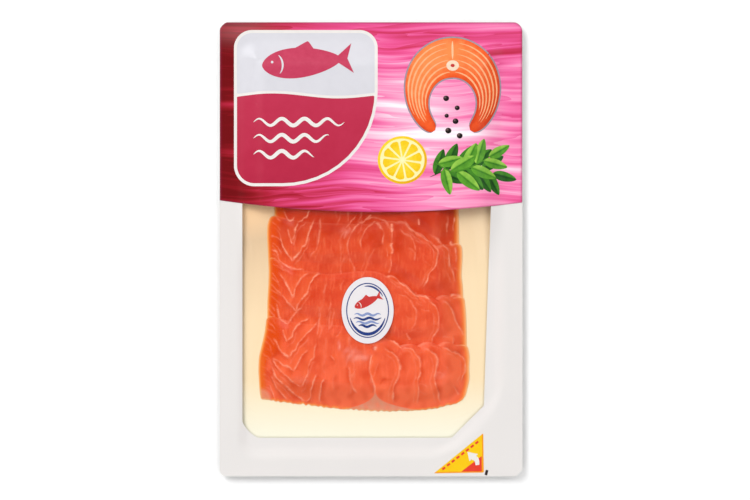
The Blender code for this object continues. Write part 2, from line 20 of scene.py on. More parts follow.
import bpy
import numpy as np
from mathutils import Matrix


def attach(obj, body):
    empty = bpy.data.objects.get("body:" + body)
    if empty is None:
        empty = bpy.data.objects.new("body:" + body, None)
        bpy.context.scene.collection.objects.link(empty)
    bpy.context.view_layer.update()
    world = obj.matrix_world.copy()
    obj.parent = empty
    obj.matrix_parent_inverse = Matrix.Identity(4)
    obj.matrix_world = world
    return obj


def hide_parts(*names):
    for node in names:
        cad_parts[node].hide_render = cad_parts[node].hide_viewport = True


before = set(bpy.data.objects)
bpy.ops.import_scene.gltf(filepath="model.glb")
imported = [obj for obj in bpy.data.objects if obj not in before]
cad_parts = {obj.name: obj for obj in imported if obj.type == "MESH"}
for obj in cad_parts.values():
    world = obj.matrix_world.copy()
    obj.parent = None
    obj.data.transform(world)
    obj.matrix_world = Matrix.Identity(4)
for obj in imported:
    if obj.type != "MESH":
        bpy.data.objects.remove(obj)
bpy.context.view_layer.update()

LOG = logging.getLogger("salmon_pack")
MM = 0.001
Array = np.ndarray
Socket = bpy.types.NodeSocket
Pair = tuple[float, float]
Points = tuple[Pair, ...]


# Numbers and colours ----------------------------------------------------------------------------


def linear(colour: str) -> tuple[float, float, float, float]:
    """Turns an sRGB hex colour into the linear red, green, blue and alpha that a shader takes."""
    parts = [int(colour[i : i + 2], 16) / 255 for i in (1, 3, 5)]
    return (*(p / 12.92 if p <= 0.04045 else ((p + 0.055) / 1.055) ** 2.4 for p in parts), 1.0)


def smoothstep(t: Array) -> Array:
    """0 below 0, 1 above 1 and 3t^2 - 2t^3 between."""
    t = np.clip(t, 0, 1)
    return t * t * (3 - 2 * t)


def smooth_max(a: Array, b: Array, blend: float) -> Array:
    """The larger of two heights: half of their sum plus the rounded size of their difference."""
    return (a + b + np.sqrt((a - b) ** 2 + blend**2)) / 2


def hermite(knots: Array, values: Array, at: Array) -> Array:
    """A smooth curve through values at knots: cubic Hermite spans with central-difference slopes.

    Args:
        knots: Rising positions.
        values: The value at each knot.
        at: Positions to read, of any shape.

    Returns:
        The curve's value at each position.
    """
    slope = np.gradient(values, knots)
    k = np.clip(np.searchsorted(knots, at) - 1, 0, len(knots) - 2)
    width = knots[k + 1] - knots[k]
    t = np.clip((at - knots[k]) / width, 0, 1)
    low = (1 + 2 * t) * (1 - t) ** 2 * values[k] + t * (1 - t) ** 2 * width * slope[k]
    return low + t * t * (3 - 2 * t) * values[k + 1] - t * t * (1 - t) * width * slope[k + 1]


def curve_y(points: Points, x: Array) -> Array:
    """The y of the smooth curve through those points, at every x."""
    along = np.asarray(points, float)
    return hermite(along[:, 0], along[:, 1], x)


def ripple(x: Array, y: Array, wavelength: float, seed: int) -> Array:
    """Soft uneven swells: the mean of seven sine waves of random heading, pitch and phase.

    Args:
        x, y: Where to read the swells.
        wavelength: The mean distance between two crests.
        seed: Picks the headings.

    Returns:
        Heights from about -1 to 1.
    """
    draw = np.random.default_rng(seed)
    waves = 7
    heading = draw.uniform(0, math.pi, waves)
    pitch = 2 * math.pi / (wavelength * draw.uniform(0.6, 1.7, waves))
    phase = draw.uniform(0, 2 * math.pi, waves)
    along = x[..., None] * np.cos(heading) + y[..., None] * np.sin(heading)
    return np.sin(along * pitch + phase).sum(axis=-1) / math.sqrt(2 * waves)


def bell(distance: Array, reach: float | Array) -> Array:
    """1 at no distance, and exp(-(distance / reach)^2) beyond."""
    return np.exp(-((distance / reach) ** 2))


def unit(vectors: Array) -> Array:
    """Vectors, of which the last axis holds the parts, made one long."""
    return vectors / np.linalg.norm(vectors, axis=-1, keepdims=True)


def spaced(rising: Array, gap: float) -> Array:
    """Which of some rising values lie further than a gap above the one before."""
    return np.concatenate([[True], np.diff(rising) > gap])


def circle(angle: Array) -> Array:
    """The points of the unit circle at some angles."""
    return np.column_stack([np.cos(angle), np.sin(angle)])


def distance_along(path: Array) -> Array:
    """How far along a path each of its points lies."""
    return np.concatenate([[0], np.cumsum(np.linalg.norm(np.diff(path, axis=0), axis=1))])


# Flat shapes ------------------------------------------------------------------------------------


def inset_corners(corners: Points, distance: float) -> Array:
    """Moves a polygon's sides in: each corner goes by the sum of its sides' inward normals.

    Args:
        corners: The corners, anticlockwise.
        distance: How far each side moves.

    Returns:
        The new corners.
    """
    corner = np.asarray(corners, float)
    after = unit(np.roll(corner, -1, axis=0) - corner)
    before = np.roll(after, 1, axis=0)
    inward = np.column_stack([-before[:, 1] - after[:, 1], before[:, 0] + after[:, 0]])
    return corner + inward * distance / (1 + (before * after).sum(axis=1))[:, None]


def cut_outline(corners: Array | Points, cuts: Points, steps: int) -> Array:
    """An outline whose corners are cut off along conics.

    Each conic is (a^2 S + 2 r a b C + b^2 E) / (a^2 + 2 r a b + b^2) with a = 1 - t and b = t,
    from S on one side over the corner C to E on the next side.

    Args:
        corners: The polygon's corners, anticlockwise.
        cuts: For each corner, how far its cut reaches along the sides, and its roundness r.
        steps: How many pieces each conic has.

    Returns:
        The outline's points, anticlockwise.
    """
    corner = np.asarray(corners, float)[:, None]
    reach, roundness = np.asarray(cuts, float).T[:, :, None, None]
    start = corner + unit(np.roll(corner, 1, axis=0) - corner) * reach
    end = corner + unit(np.roll(corner, -1, axis=0) - corner) * reach
    t = np.linspace(0, 1, steps + 1)[None, :, None]
    a, b, c = (1 - t) ** 2, 2 * roundness * t * (1 - t), t**2
    return ((a * start + b * corner + c * end) / (a + b + c)).reshape(-1, 2)


def refined(outline: Array, step: float, loop: bool = True) -> Array:
    """Adds points on the straight sides of an outline or a path.

    Args:
        outline: Its points.
        step: The longest side that is left.
        loop: Whether the last point joins the first.

    Returns:
        The points with the added ones.
    """
    ends = np.concatenate([outline, outline[:1]]) if loop else outline
    along = distance_along(ends)
    keep = spaced(along, step / 50)
    ends, along = ends[keep], along[keep]
    places = np.union1d(along, np.linspace(0, along[-1], math.ceil(along[-1] / step) + 1))
    places = places[spaced(places, step / 50)]
    places = places[:-1] if loop else places
    return np.column_stack([np.interp(places, along, ends[:, i]) for i in (0, 1)])


def smooth_path(points: Points, step: float) -> Array:
    """A smooth curve through a few chosen points.

    Args:
        points: The chosen points.
        step: The most that two of its points lie apart.

    Returns:
        The curve's points.
    """
    chosen = np.asarray(points, float)
    along = distance_along(chosen)
    places = np.linspace(0, along[-1], max(math.ceil(along[-1] / step), 2) + 1)
    return np.column_stack([hermite(along, chosen[:, i], places) for i in (0, 1)])


def reach_of(outline: Array, centre: Pair, angles: Array) -> Array:
    """How far an outline lies from a centre: each ray is crossed with the side that spans it.

    Args:
        outline: Its points, anticlockwise.
        centre: A point inside it.
        angles: The rays' directions in radians.

    Returns:
        The distance along each ray.
    """
    start = outline - np.asarray(centre)
    side = np.roll(start, -1, axis=0) - start
    first = math.atan2(start[0, 1], start[0, 0])
    bearing = np.mod(np.arctan2(start[:, 1], start[:, 0]) - first, 2 * math.pi)
    k = np.searchsorted(bearing, np.mod(angles - first, 2 * math.pi), side="right") - 1
    ray = circle(angles)
    share = -(start[k, 0] * ray[:, 1] - start[k, 1] * ray[:, 0])
    share = share / (side[k, 0] * ray[:, 1] - side[k, 1] * ray[:, 0])
    return ((start[k] + share[:, None] * side[k]) * ray).sum(axis=1)


def edge_over(outline: Array, x: Array, upper: bool) -> Array:
    """The y at every x of the upper or the lower side of a convex outline round the origin."""
    half = outline[(outline[:, 1] > 0) == upper]
    return np.interp(x, *half[np.argsort(half[:, 0])].T)


@dataclass
class Patch:
    """A flat shape as a grid of points.

    Attributes:
        x, y: The points, a row for each step outwards and a column for each step along.
        closed: The last column joins the first.
        centred: The first row is a single point.
    """

    x: Array
    y: Array
    closed: bool = False
    centred: bool = False

    def faces(self) -> tuple[Array, Array, Array]:
        """The upper faces.

        Returns:
            Which points are kept, the quads and the triangles, both facing up.
        """
        rows, columns = self.x.shape
        index = np.arange(rows * columns).reshape(rows, columns)
        kept = index.ravel()
        if self.centred:
            index = np.maximum(index - columns + 1, 0)
            kept = np.concatenate([kept[:1], kept[columns:]])
        if self.closed:
            index = np.concatenate([index, index[:, :1]], axis=1)
        a, b, c, d = index[:-1, :-1], index[:-1, 1:], index[1:, 1:], index[1:, :-1]
        quads = np.stack([a, b, c, d], axis=-1)
        tris = np.zeros((0, 3), int)
        if self.centred:
            tris = quads[0][:, [0, 2, 3]]
            quads = quads[1:]
        quads = quads.reshape(-1, 4)
        # The sign of their area says which way they face.
        x, y = self.x, self.y
        area = (x[1:, 1:] - x[:-1, :-1]) * (y[1:, :-1] - y[:-1, 1:])
        area = area - (y[1:, 1:] - y[:-1, :-1]) * (x[1:, :-1] - x[:-1, 1:])
        if area.sum() < 0:
            quads, tris = quads[:, ::-1], tris[:, ::-1]
        return kept, quads, tris


def disc_patch(outline: Array, step: float = 1.0, centre: Pair | None = None) -> Patch:
    """A filled outline: rays from its centre, with rings at equal shares of the way out.

    Args:
        outline: The outline, every point of which can be seen from the centre.
        step: The size of its faces.
        centre: The centre, or None for the mean of the outline's points.

    Returns:
        The patch.
    """
    edge = refined(np.asarray(outline, float), step)
    middle = edge.mean(axis=0) if centre is None else np.asarray(centre, float)
    rings = max(2, math.ceil(np.linalg.norm(edge - middle, axis=1).max() / step))
    share = np.linspace(0, 1, rings + 1)[:, None, None]
    grid = middle + share * (edge - middle)
    return Patch(grid[..., 0], grid[..., 1], closed=True, centred=True)


def ribbon_patch(path: Array, half_width: Array | float, step: float = 1.0,
                 loop: bool = False) -> Patch:
    """A band along a path: the path plus shares of its half width along its normal.

    Args:
        path: The path's points.
        half_width: The half width, the same all along or one for each point.
        step: The size of the faces across the band.
        loop: Whether the path's last point joins its first.

    Returns:
        The patch.
    """
    ends = np.concatenate([path[-1:], path, path[:1]]) if loop else path
    along = np.gradient(ends, axis=0)
    along = unit(along[1:-1] if loop else along)
    width = np.broadcast_to(half_width, len(path))
    share = np.linspace(-1, 1, max(1, math.ceil(2 * float(np.max(width)) / step)) + 1)[:, None]
    x, y = path[:, 0] - share * width * along[:, 1], path[:, 1] + share * width * along[:, 0]
    return Patch(x, y, closed=loop)


def stroke_patch(path: Array, half_width: float, step: float = 1.0) -> Patch:
    """A band with fine ends, of a half width of 0.04 + w sin(pi t)^0.6 over the path."""
    swell = np.sin(math.pi * np.linspace(0, 1, len(path))) ** 0.6
    return ribbon_patch(path, 0.04 + half_width * swell, step)


def ring_patch(inner: Array, outer: Array, centre: Pair, step: float) -> Patch:
    """The area between two outlines: rays from a centre, with rows from the inner to the outer.

    Args:
        inner, outer: The outlines.
        centre: A point inside both.
        step: The size of the faces.

    Returns:
        The patch.
    """
    angles = np.concatenate([np.arctan2(*(refined(o, step) - centre).T[::-1]) for o in (inner, outer)])
    angles = np.sort(angles)
    angles = angles[spaced(angles, 1e-4)]
    low, high = reach_of(inner, centre, angles), reach_of(outer, centre, angles)
    rows = math.ceil(float(np.median(high - low)) / step)
    radius = low + np.linspace(0, 1, rows + 1)[:, None] * (high - low)
    return Patch(centre[0] + radius * np.cos(angles), centre[1] + radius * np.sin(angles), closed=True)


def strip_patch(x: Array, low: Array, high: Array, step: float) -> Patch:
    """The area between two curves over rising x, in even steps up each column."""
    share = np.linspace(0, 1, math.ceil(float(np.max(high - low)) / step) + 1)[:, None]
    return Patch(np.broadcast_to(x, (len(share), len(x))), low + share * (high - low))


# Meshes -----------------------------------------------------------------------------------------


class MeshParts:
    """Closed bodies that are gathered into one mesh."""

    def __init__(self) -> None:
        """Starts with no bodies."""
        self.points: list[Array] = []
        self.faces: list[list[int]] = []
        self.values: dict[str, list[Array]] = {}
        self.count = 0

    def add(self, points: Array, faces: list[Array], **values: Array) -> None:
        """Adds one body.

        Args:
            points: Its points, in millimetres.
            faces: Arrays of its faces, one array for each count of corners.
            **values: A number for each point, by the name of its attribute.
        """
        for group in faces:
            self.faces += (group + self.count).tolist()
        self.points.append(points)
        self.count += len(points)
        for name, value in values.items():
            self.values.setdefault(name, []).append(value)

    def slab(self, patch: Patch, low: Array, high: Array, **values: Array) -> MeshParts:
        """Adds a sheet: a patch at two heights, and walls along every edge that has one face.

        Args:
            patch: The sheet's shape.
            low: The height of its underside over the patch's grid.
            high: The height of its upper face.
            **values: A number for each point of the grid, by the name of its attribute.

        Returns:
            These bodies.
        """
        kept, quads, tris = patch.faces()
        flat = np.stack([patch.x.ravel(), patch.y.ravel()], axis=1)[kept]
        top = np.column_stack([flat, np.broadcast_to(high, patch.x.shape).ravel()[kept]])
        under = np.column_stack([flat, np.broadcast_to(low, patch.x.shape).ravel()[kept]])
        count = len(kept)
        edges = [np.stack([f, np.roll(f, -1, axis=1)], axis=-1).reshape(-1, 2) for f in (quads, tris)]
        edge = np.concatenate(edges)
        code, back = edge[:, 0] * count + edge[:, 1], edge[:, 1] * count + edge[:, 0]
        i, j = edge[~np.isin(code, back)].T
        walls = np.stack([i + count, j + count, j, i], axis=1)
        faces = [quads, quads[:, ::-1] + count, tris, tris[:, ::-1] + count, walls]
        doubled = {name: np.tile(value.ravel()[kept], 2) for name, value in values.items()}
        self.add(np.concatenate([top, under]), faces, **doubled)
        return self

    def loft(self, loops: list[Array]) -> MeshParts:
        """Adds a body over closed loops, with its first and last loop filled.

        Args:
            loops: The loops' points, the same count in each.

        Returns:
            These bodies.
        """
        count = len(loops[0])
        middles = [loops[0].mean(axis=0), loops[-1].mean(axis=0)]
        i = np.arange(count)
        j = np.roll(i, -1)
        low = np.arange(len(loops) - 1)[:, None] * count
        walls = np.stack([low + i, low + j, low + j + count, low + i + count], axis=-1).reshape(-1, 4)
        last = (len(loops) - 1) * count
        first_middle, last_middle = len(loops) * count, len(loops) * count + 1
        caps = [np.stack([np.full(count, first_middle), j, i], axis=1)]
        caps.append(np.stack([np.full(count, last_middle), last + i, last + j], axis=1))
        self.add(np.concatenate([*loops, middles]), [walls, *caps])
        return self

    def make(self, name: str, material: bpy.types.Material, sharp: float) -> bpy.types.Object:
        """Makes the object.

        Args:
            name: The object's name.
            material: Its finish.
            sharp: Edges that turn by more degrees than this stay sharp.

        Returns:
            The object at the origin, with its place in its mesh.
        """
        mesh = bpy.data.meshes.new(name)
        mesh.from_pydata((np.concatenate(self.points) * MM).tolist(), [], self.faces)
        for key, value in self.values.items():
            attribute = mesh.attributes.new(key, "FLOAT", "POINT")
            attribute.data.foreach_set("value", np.concatenate(value).astype(np.float32))
        mesh.materials.append(material)
        mesh.shade_smooth()
        mesh.set_sharp_from_angle(angle=math.radians(sharp))
        made = bpy.data.objects.new(name, mesh)
        bpy.context.scene.collection.objects.link(made)
        return made


def place_piece(parts: MeshParts, name: str, finish: Finish, slot: str, *nodes: str,
                sharp: float = 35.0) -> None:
    """Makes a piece that rides on the pack and lets it stand for its solids.

    Args:
        parts: Its bodies.
        name: Its name.
        finish: Its finish.
        slot: The finish slot, which is only logged.
        *nodes: The solids that it stands for.
        sharp: Edges that turn by more degrees than this stay sharp.
    """
    piece = parts.make(name, finish.material(), sharp)
    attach(piece, "root")
    if nodes:
        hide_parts(*nodes)
    LOG.info("%s: %d faces, slot %s", piece.name, len(piece.data.polygons), slot)


# Finishes ---------------------------------------------------------------------------------------

NodeMaker = Callable[..., Socket]
Stops = tuple[tuple[float, str], ...]
Tints = tuple[tuple[str, str], ...]
RGBA = {"data_type": "RGBA"}
SMOOTH = {"interpolation_type": "SMOOTHSTEP"}
PLUS, TIMES, TIMES_PLUS, FRACTION = (
    {"operation": name} for name in ("ADD", "MULTIPLY", "MULTIPLY_ADD", "FRACT")
)


def add_node(tree: bpy.types.NodeTree, kind: str, out: int | str = 0, settings: dict | None = None,
             stops: Stops = (), **sockets: object) -> Socket | None:
    """Adds a node with its settings and links.

    Args:
        tree: The material's node tree.
        kind: The node's type, without the word that starts every type.
        out: Which of its outputs is wanted.
        settings: Its properties.
        stops: The places and hex colours of a colour ramp.
        **sockets: A value, a hex colour or a linked output for each input, by identifier, with
            underscores for spaces.

    Returns:
        The wanted output, or None for a node that has none.
    """
    node = tree.nodes.new("ShaderNode" + kind)
    for name, value in (settings or {}).items():
        setattr(node, name, value)
    for i, (place, colour) in enumerate(stops):
        ramp = node.color_ramp.elements
        stop = ramp[i] if i < 2 else ramp.new(place)
        stop.position, stop.color = place, linear(colour)
    inputs = {socket.identifier.replace(" ", "_"): socket for socket in node.inputs}
    for name, value in sockets.items():
        if isinstance(value, Socket):
            tree.links.new(value, inputs[name])
        else:
            inputs[name].default_value = linear(value) if isinstance(value, str) else value
    return node.outputs[out] if node.outputs else None


def tinted(node: NodeMaker, colour: Socket, tints: Tints) -> Socket:
    """Lays tints over a colour.

    Args:
        node: Adds a node to the material.
        colour: The colour below the tints.
        tints: From the lowest up, the attribute that holds each tint's strength, and the tint.

    Returns:
        The colour with its tints.
    """
    for layer, tint in tints:
        amount = node("Attribute", "Fac", {"attribute_name": layer})
        colour = node("Mix", "Result", RGBA, Factor_Float=amount, A_Color=colour, B_Color=tint)
    return colour


class Finish:
    """A finish that knows how to build its material."""

    name: str

    def shader(self, node: NodeMaker) -> Socket:
        """Builds the finish with a function that adds a node, and returns its shader output."""
        raise NotImplementedError

    def material(self) -> bpy.types.Material:
        """Makes the material at its first call.

        Returns:
            The finish's material.
        """
        made = bpy.data.materials.get(self.name)
        if not made:
            made = bpy.data.materials.new(self.name)
            made.use_nodes = True
            made.node_tree.nodes.clear()
            node = partial(add_node, made.node_tree)
            node("OutputMaterial", Surface=self.shader(node))
        return made


@dataclass(frozen=True)
class MottledSheet(Finish):
    """A smooth sheet of two close tones that drift into each other, with a fine relief.

    Attributes:
        tones: The two tones.
        drift: The size of the tones' drift in millimetres, and its detail.
        grain: The size of the relief in millimetres, and its detail.
        relief: The relief's strength, and its height in millimetres.
        roughness, ior, specular: The gloss.
    """

    name: str
    tones: tuple[str, str]
    drift: Pair
    grain: Pair
    relief: Pair
    roughness: float
    ior: float = 1.5
    specular: float = 0.5

    def shader(self, node: NodeMaker) -> Socket:
        """Mixes the tones by a soft noise and lifts the surface by a second one.

        Args:
            node: Adds a node to the material.

        Returns:
            The shader's output.
        """
        place = node("TexCoord", "Object")
        drift, grain = (node("TexNoise", Vector=place, Scale=1 / (size * MM), Detail=detail)
                        for size, detail in (self.drift, self.grain))
        first, second = self.tones
        colour = node("Mix", "Result", RGBA, Factor_Float=drift, A_Color=first, B_Color=second)
        strength, height = self.relief
        bump = node("Bump", Strength=strength, Distance=height * MM, Height=grain)
        return node("BsdfPrincipled", Base_Color=colour, Roughness=self.roughness, IOR=self.ior,
                    Specular_IOR_Level=self.specular, Normal=bump)


# Thermoformed white polypropylene sheet: satin, with a faint unevenness from the mould.
FORMED_POLYPROPYLENE = MottledSheet("thermoformed_white_polypropylene", ("#E9E7E3", "#E1DFDB"), (40.0, 2.0),
                                    (0.6, 3.0), (0.15, 0.05), 0.38, 1.49)
# White flexographic ink on film: an opaque soft white with a faintly mottled lay-down.
PRINTED_FILM_WHITE = MottledSheet("white_flexographic_print", ("#E2DEDB", "#DEDAD8"), (100 / 3, 4.0),
                                  (100 / 3, 4.0), (0.2, 0.1), 0.5, 1.49, 0.25)
# Coated label paper: a bright smooth white with fibres of about a third of a millimetre.
STICKER_PAPER = MottledSheet("coated_label_paper", ("#E6E0E2", "#DEDADD"), (0.35, 2.0), (0.35, 2.0),
                             (0.1, 0.02), 0.45)


@dataclass(frozen=True)
class GoldLaminatedBoard(Finish):
    """Solid board under a pale gold laminate, with painted light and shade in its colour.

    Attributes:
        tones: The tones from the tan end to the cream end. A painted reflection pales the card
        to cream towards its lower end and, higher up, its right. Painted shade turns it tan below
        the label, and the first stop is painted light that lifts the label's cast shadow.
        fade_mm: The y of the two ends.
        lean_mm, lean: The y from which the fade leans across the card less and less, the y from
            which it leans fully, and how much it does.
        foil_mm: The size of the laminate's sparkle.
    """

    name: str = "gold_laminated_board"
    tones: Stops = (
        (0.02, "#F9D0A0"), (1.0, "#F8F5DF"), (0.133, "#E1C29B"), (0.273, "#EED1A8"),
        (0.485, "#F7DDB3"), (0.773, "#F7E0B7"),
    )
    fade_mm: Pair = (36.0, -99.0)
    lean_mm: Pair = (-60.0, -20.0)
    lean: float = -0.22
    foil_mm: float = 0.5

    def shader(self, node: NodeMaker) -> Socket:
        """Painted light and shade that fade down and across the card, and the laminate's fine sparkle.

        Args:
            node: Adds a node to the material.

        Returns:
            The shader's output.
        """
        place = node("TexCoord", "Object")
        x, y = (node("SeparateXYZ", axis, Vector=place) for axis in "XY")
        lean = node("MapRange", 0, SMOOTH, Value=y, From_Min=self.lean_mm[0] * MM,
                    From_Max=self.lean_mm[1] * MM, To_Max=self.lean)
        leaned = node("Math", 0, TIMES_PLUS, Value=x, Value_001=lean, Value_002=y)
        # Painted light and shade: tan below the label, cream towards the lower end and the right.
        shaded_tan_end, lit_cream_end = self.fade_mm
        fade = node("MapRange", Value=leaned, From_Min=shaded_tan_end * MM, From_Max=lit_cream_end * MM)
        tone = node("ValToRGB", Fac=fade, stops=self.tones)
        foil = node("TexNoise", Vector=place, Scale=1 / (self.foil_mm * MM), Detail=2.0)
        bump = node("Bump", Strength=0.1, Distance=0.03 * MM, Height=foil)
        return node("BsdfPrincipled", Base_Color=tone, Roughness=0.42, Metallic=0.1, Normal=bump)


@dataclass(frozen=True)
class CuredSalmonFlesh(Finish):
    """Cured and sliced salmon: wet, slightly translucent muscle with pale fat between its flakes.

    Attributes:
        muscle, dense_muscle, fibre_tint: The muscle's tones.
        tints: The tints over the muscle, each by the attribute of the slices that it follows.
        patch_mm, grain_mm: The size of the denser patches and of the grain in them.
        fibre_mm: The fibres' width and length, coarser than real so that they show.
    """

    name: str = "cured_salmon_flesh"
    muscle: str = "#E24F2C"
    dense_muscle: str = "#D63A18"
    fibre_tint: str = "#F0744C"
    # Glow, edge, rim and sheen are painted light. Pale and fat carry some painted light, and deep and shade
    # some painted shade, beside the flesh's own tones.
    tints: Tints = (
        ("pale", "#FC7048"), ("deep", "#D63C10"), ("glow", "#F46632"), ("shade", "#B42200"),
        ("strip", "#DE4800"), ("edge", "#F6922E"), ("fat", "#FCA888"), ("membrane", "#E09678"),
        ("rim", "#F6C080"), ("sheen", "#FFC4B4"),
    )
    patch_mm: float = 8.0
    grain_mm: float = 1.0
    fibre_mm: Pair = (1.2, 6.0)

    def shader(self, node: NodeMaker) -> Socket:
        """Patches of denser muscle and long fibres under the tints of the slice's own layers.

        Args:
            node: Adds a node to the material.

        Returns:
            The shader's output.
        """
        place = node("TexCoord", "Object")
        patches = node("TexNoise", Vector=place, Scale=1 / (self.patch_mm * MM), Detail=3.0,
                       Roughness=0.6, Distortion=0.8)
        grain = node("TexNoise", Vector=place, Scale=1 / (self.grain_mm * MM), Detail=3.0,
                     Roughness=0.65, Distortion=0.6)
        blend = node("Math", 0, TIMES_PLUS, Value=grain, Value_001=0.5, Value_002=patches)
        blend = node("MapRange", Value=blend, From_Min=0.58, From_Max=0.95)
        colour = node("Mix", "Result", RGBA, Factor_Float=blend, A_Color=self.muscle,
                      B_Color=self.dense_muscle)
        across, along = self.fibre_mm
        stretched = node("Mapping", Vector=place, Rotation=(0.0, 0.0, 0.2),
                         Scale=(1 / (across * MM), 1 / (along * MM), 1 / (along * MM)))
        fibres = node("TexNoise", Vector=stretched, Scale=1.0, Detail=2.0, Distortion=0.4)
        shown = node("MapRange", Value=fibres, From_Min=0.5, From_Max=0.76, To_Max=0.5)
        colour = node("Mix", "Result", RGBA, Factor_Float=shown, A_Color=colour, B_Color=self.fibre_tint)
        bump = node("Bump", Strength=0.3, Distance=0.08 * MM, Height=grain)
        return node("BsdfPrincipled", Base_Color=tinted(node, colour, self.tints), Roughness=0.34,
                    IOR=1.4, Specular_IOR_Level=0.22, Subsurface_Weight=0.08,
                    Subsurface_Radius=(1.0, 0.35, 0.2), Subsurface_Scale=0.8 * MM, Normal=bump)


@dataclass(frozen=True)
class ClearLiddingFilm(Finish):
    """Clear laminated lidding film: almost nothing but a soft gloss over what lies under it."""

    name: str = "clear_lidding_film"
    gloss_share: float = 0.01
    roughness: float = 0.16

    def shader(self, node: NodeMaker) -> Socket:
        """A constant small share of gloss over a fully clear film."""
        gloss = node("BsdfGlossy", Roughness=self.roughness)
        return node("MixShader", Fac=self.gloss_share, Shader=node("BsdfTransparent"), Shader_001=gloss)


@dataclass(frozen=True)
class StreakedGravurePrint(Finish):
    """Gravure-printed label under gloss varnish: flowing streaks from dark red to pale pink.

    Attributes:
        tones: The tones from dark to pale.
        tints: The tints over them, each by the attribute that it follows.
        sway_mm: How far the streaks sway.
        streaks_mm: The length and width of the broad streaks, the lenses and the hairlines.
        lenses: For the broad streaks and the lenses, the count of their bands and their strength.
        glow_centre_mm, glow_size_mm: The middle and reach of the pale glow.
        shifts: Smooth shifts of tone over x or y: from where, to where, and the two shifts.
    """

    name: str = "streaked_gravure_label"
    tones: Stops = (
        (0.0, "#70060E"), (1.0, "#FFF0F6"), (0.16, "#8C101C"), (0.30, "#AE2038"), (0.42, "#CC3860"),
        (0.54, "#E2508C"), (0.66, "#F078AC"), (0.80, "#F8AACA"),
    )
    # The border tint is painted shade along the label's edges, and the second tint a painted glare of the
    # film near the upper left corner.
    tints: Tints = (("border", "#8E2A4C"), ("bloom", "#F4B8BC"))
    sway_mm: float = 16.0
    streaks_mm: tuple[Pair, ...] = ((110.0, 9.0), (80.0, 4.5), (60.0, 1.6))
    lenses: tuple[Pair, ...] = ((4.0, 0.11), (3.0, 0.1))
    glow_centre_mm: Pair = (24.0, 64.0)
    glow_size_mm: Pair = (36.0, 30.0)
    shifts: tuple[tuple[str, float, float, float, float], ...] = (
        ("X", -80.0, -45.0, -0.22, 0.0), ("X", -90.0, 12.0, -0.63, -0.2), ("Y", 92.0, 114.0, 0.0, 1.0),
        ("X", -30.0, 20.0, 0.0, -0.16), ("Y", 46.0, 26.0, 0.0, 1.0), ("X", -56.0, -20.0, 0.0, -0.1),
        ("X", 0.0, 50.0, 0.0, 0.18),
    )

    def shader(self, node: NodeMaker) -> Socket:
        """Streaks from stretched noise, lifted from left to right and round a pale glow.

        The fraction of a few times the noise gives lens-shaped streaks with one crisp side.

        Args:
            node: Adds a node to the material.

        Returns:
            The shader's output.
        """
        place = node("TexCoord", "Object")
        axes = {axis: node("SeparateXYZ", axis, Vector=place) for axis in "XY"}
        sway = node("TexNoise", Vector=place, Scale=14.0, Detail=1.0)
        swayed = node("Math", 0, TIMES_PLUS, Value=sway, Value_001=self.sway_mm * MM, Value_002=axes["Y"])
        flow = node("CombineXYZ", X=axes["X"], Y=swayed)
        noises = []
        for long, thin in self.streaks_mm:
            stretched = node("Mapping", Vector=flow, Scale=(1 / (long * MM), 1 / (thin * MM), 1.0))
            noises.append(node("TexNoise", Vector=stretched, Scale=1.0, Detail=1.5, Roughness=0.5))
        value = node("Math", 0, TIMES_PLUS, Value=noises[0], Value_001=0.8, Value_002=0.19)
        value = node("Math", 0, TIMES_PLUS, Value=noises[2], Value_001=0.3, Value_002=value)
        for noise, (count, share) in zip(noises, self.lenses):
            bands = node("Math", 0, TIMES, Value=noise, Value_001=count)
            crisp = node("Math", 0, FRACTION, Value=bands)
            value = node("Math", 0, TIMES_PLUS, Value=crisp, Value_001=share, Value_002=value)
        centre, size = np.array(self.glow_centre_mm) * MM, np.array(self.glow_size_mm) * MM
        offset = node("Mapping", 0, {"vector_type": "POINT"}, Vector=place,
                      Location=(-centre[0] / size[0], -centre[1] / size[1], 0.0),
                      Scale=(1 / size[0], 1 / size[1], 0.0))
        away = node("VectorMath", 1, {"operation": "LENGTH"}, Vector=offset)
        glow = node("MapRange", 0, SMOOTH, Value=away, From_Min=0.1, From_Max=1.6, To_Min=0.17, To_Max=0.0)
        far_left, left, head, head_right, foot, foot_left, foot_right = (
            node("MapRange", 0, SMOOTH, Value=axes[axis], From_Min=start * MM, From_Max=end * MM,
                 To_Min=low, To_Max=high) for axis, start, end, low, high in self.shifts)
        dip = node("Math", 0, PLUS, Value=foot_left, Value_001=foot_right)
        pairs = ((PLUS, far_left, left), (TIMES, head, head_right), (TIMES, foot, dip))
        parts = [node("Math", 0, kind, Value=first, Value_001=second) for kind, first, second in pairs]
        for part in (*parts, glow):
            value = node("Math", 0, PLUS, Value=value, Value_001=part)
        colour = tinted(node, node("ValToRGB", Fac=value, stops=self.tones), self.tints)
        return node("BsdfPrincipled", Base_Color=colour, Roughness=0.3, IOR=1.5, Specular_IOR_Level=0.14)


@dataclass(frozen=True)
class GravureInk(Finish):
    """One ink of the print: a halftone from dark to light, with the faint mottle of its lay-down."""

    name: str
    dark: str
    middle: str
    light: str
    mottle_mm: float = 3.0

    def shader(self, node: NodeMaker) -> Socket:
        """The shape's own tone, moved a little by the mottle, picks between the three colours.

        Args:
            node: Adds a node to the material.

        Returns:
            The shader's output.
        """
        mottle = node("TexNoise", Vector=node("TexCoord", "Object"), Scale=1 / (self.mottle_mm * MM),
                      Detail=3.0, Roughness=0.6)
        drift = node("MapRange", Value=mottle, To_Min=-0.3, To_Max=0.3)
        tone = node("Attribute", "Fac", {"attribute_name": "tone"})
        share = node("Math", 0, PLUS, Value=tone, Value_001=drift)
        colour = node("ValToRGB", Fac=share, stops=((0, self.dark), (1, self.light), (0.5, self.middle)))
        return node("BsdfPrincipled", Base_Color=colour, Roughness=0.3, IOR=1.5, Specular_IOR_Level=0.22)


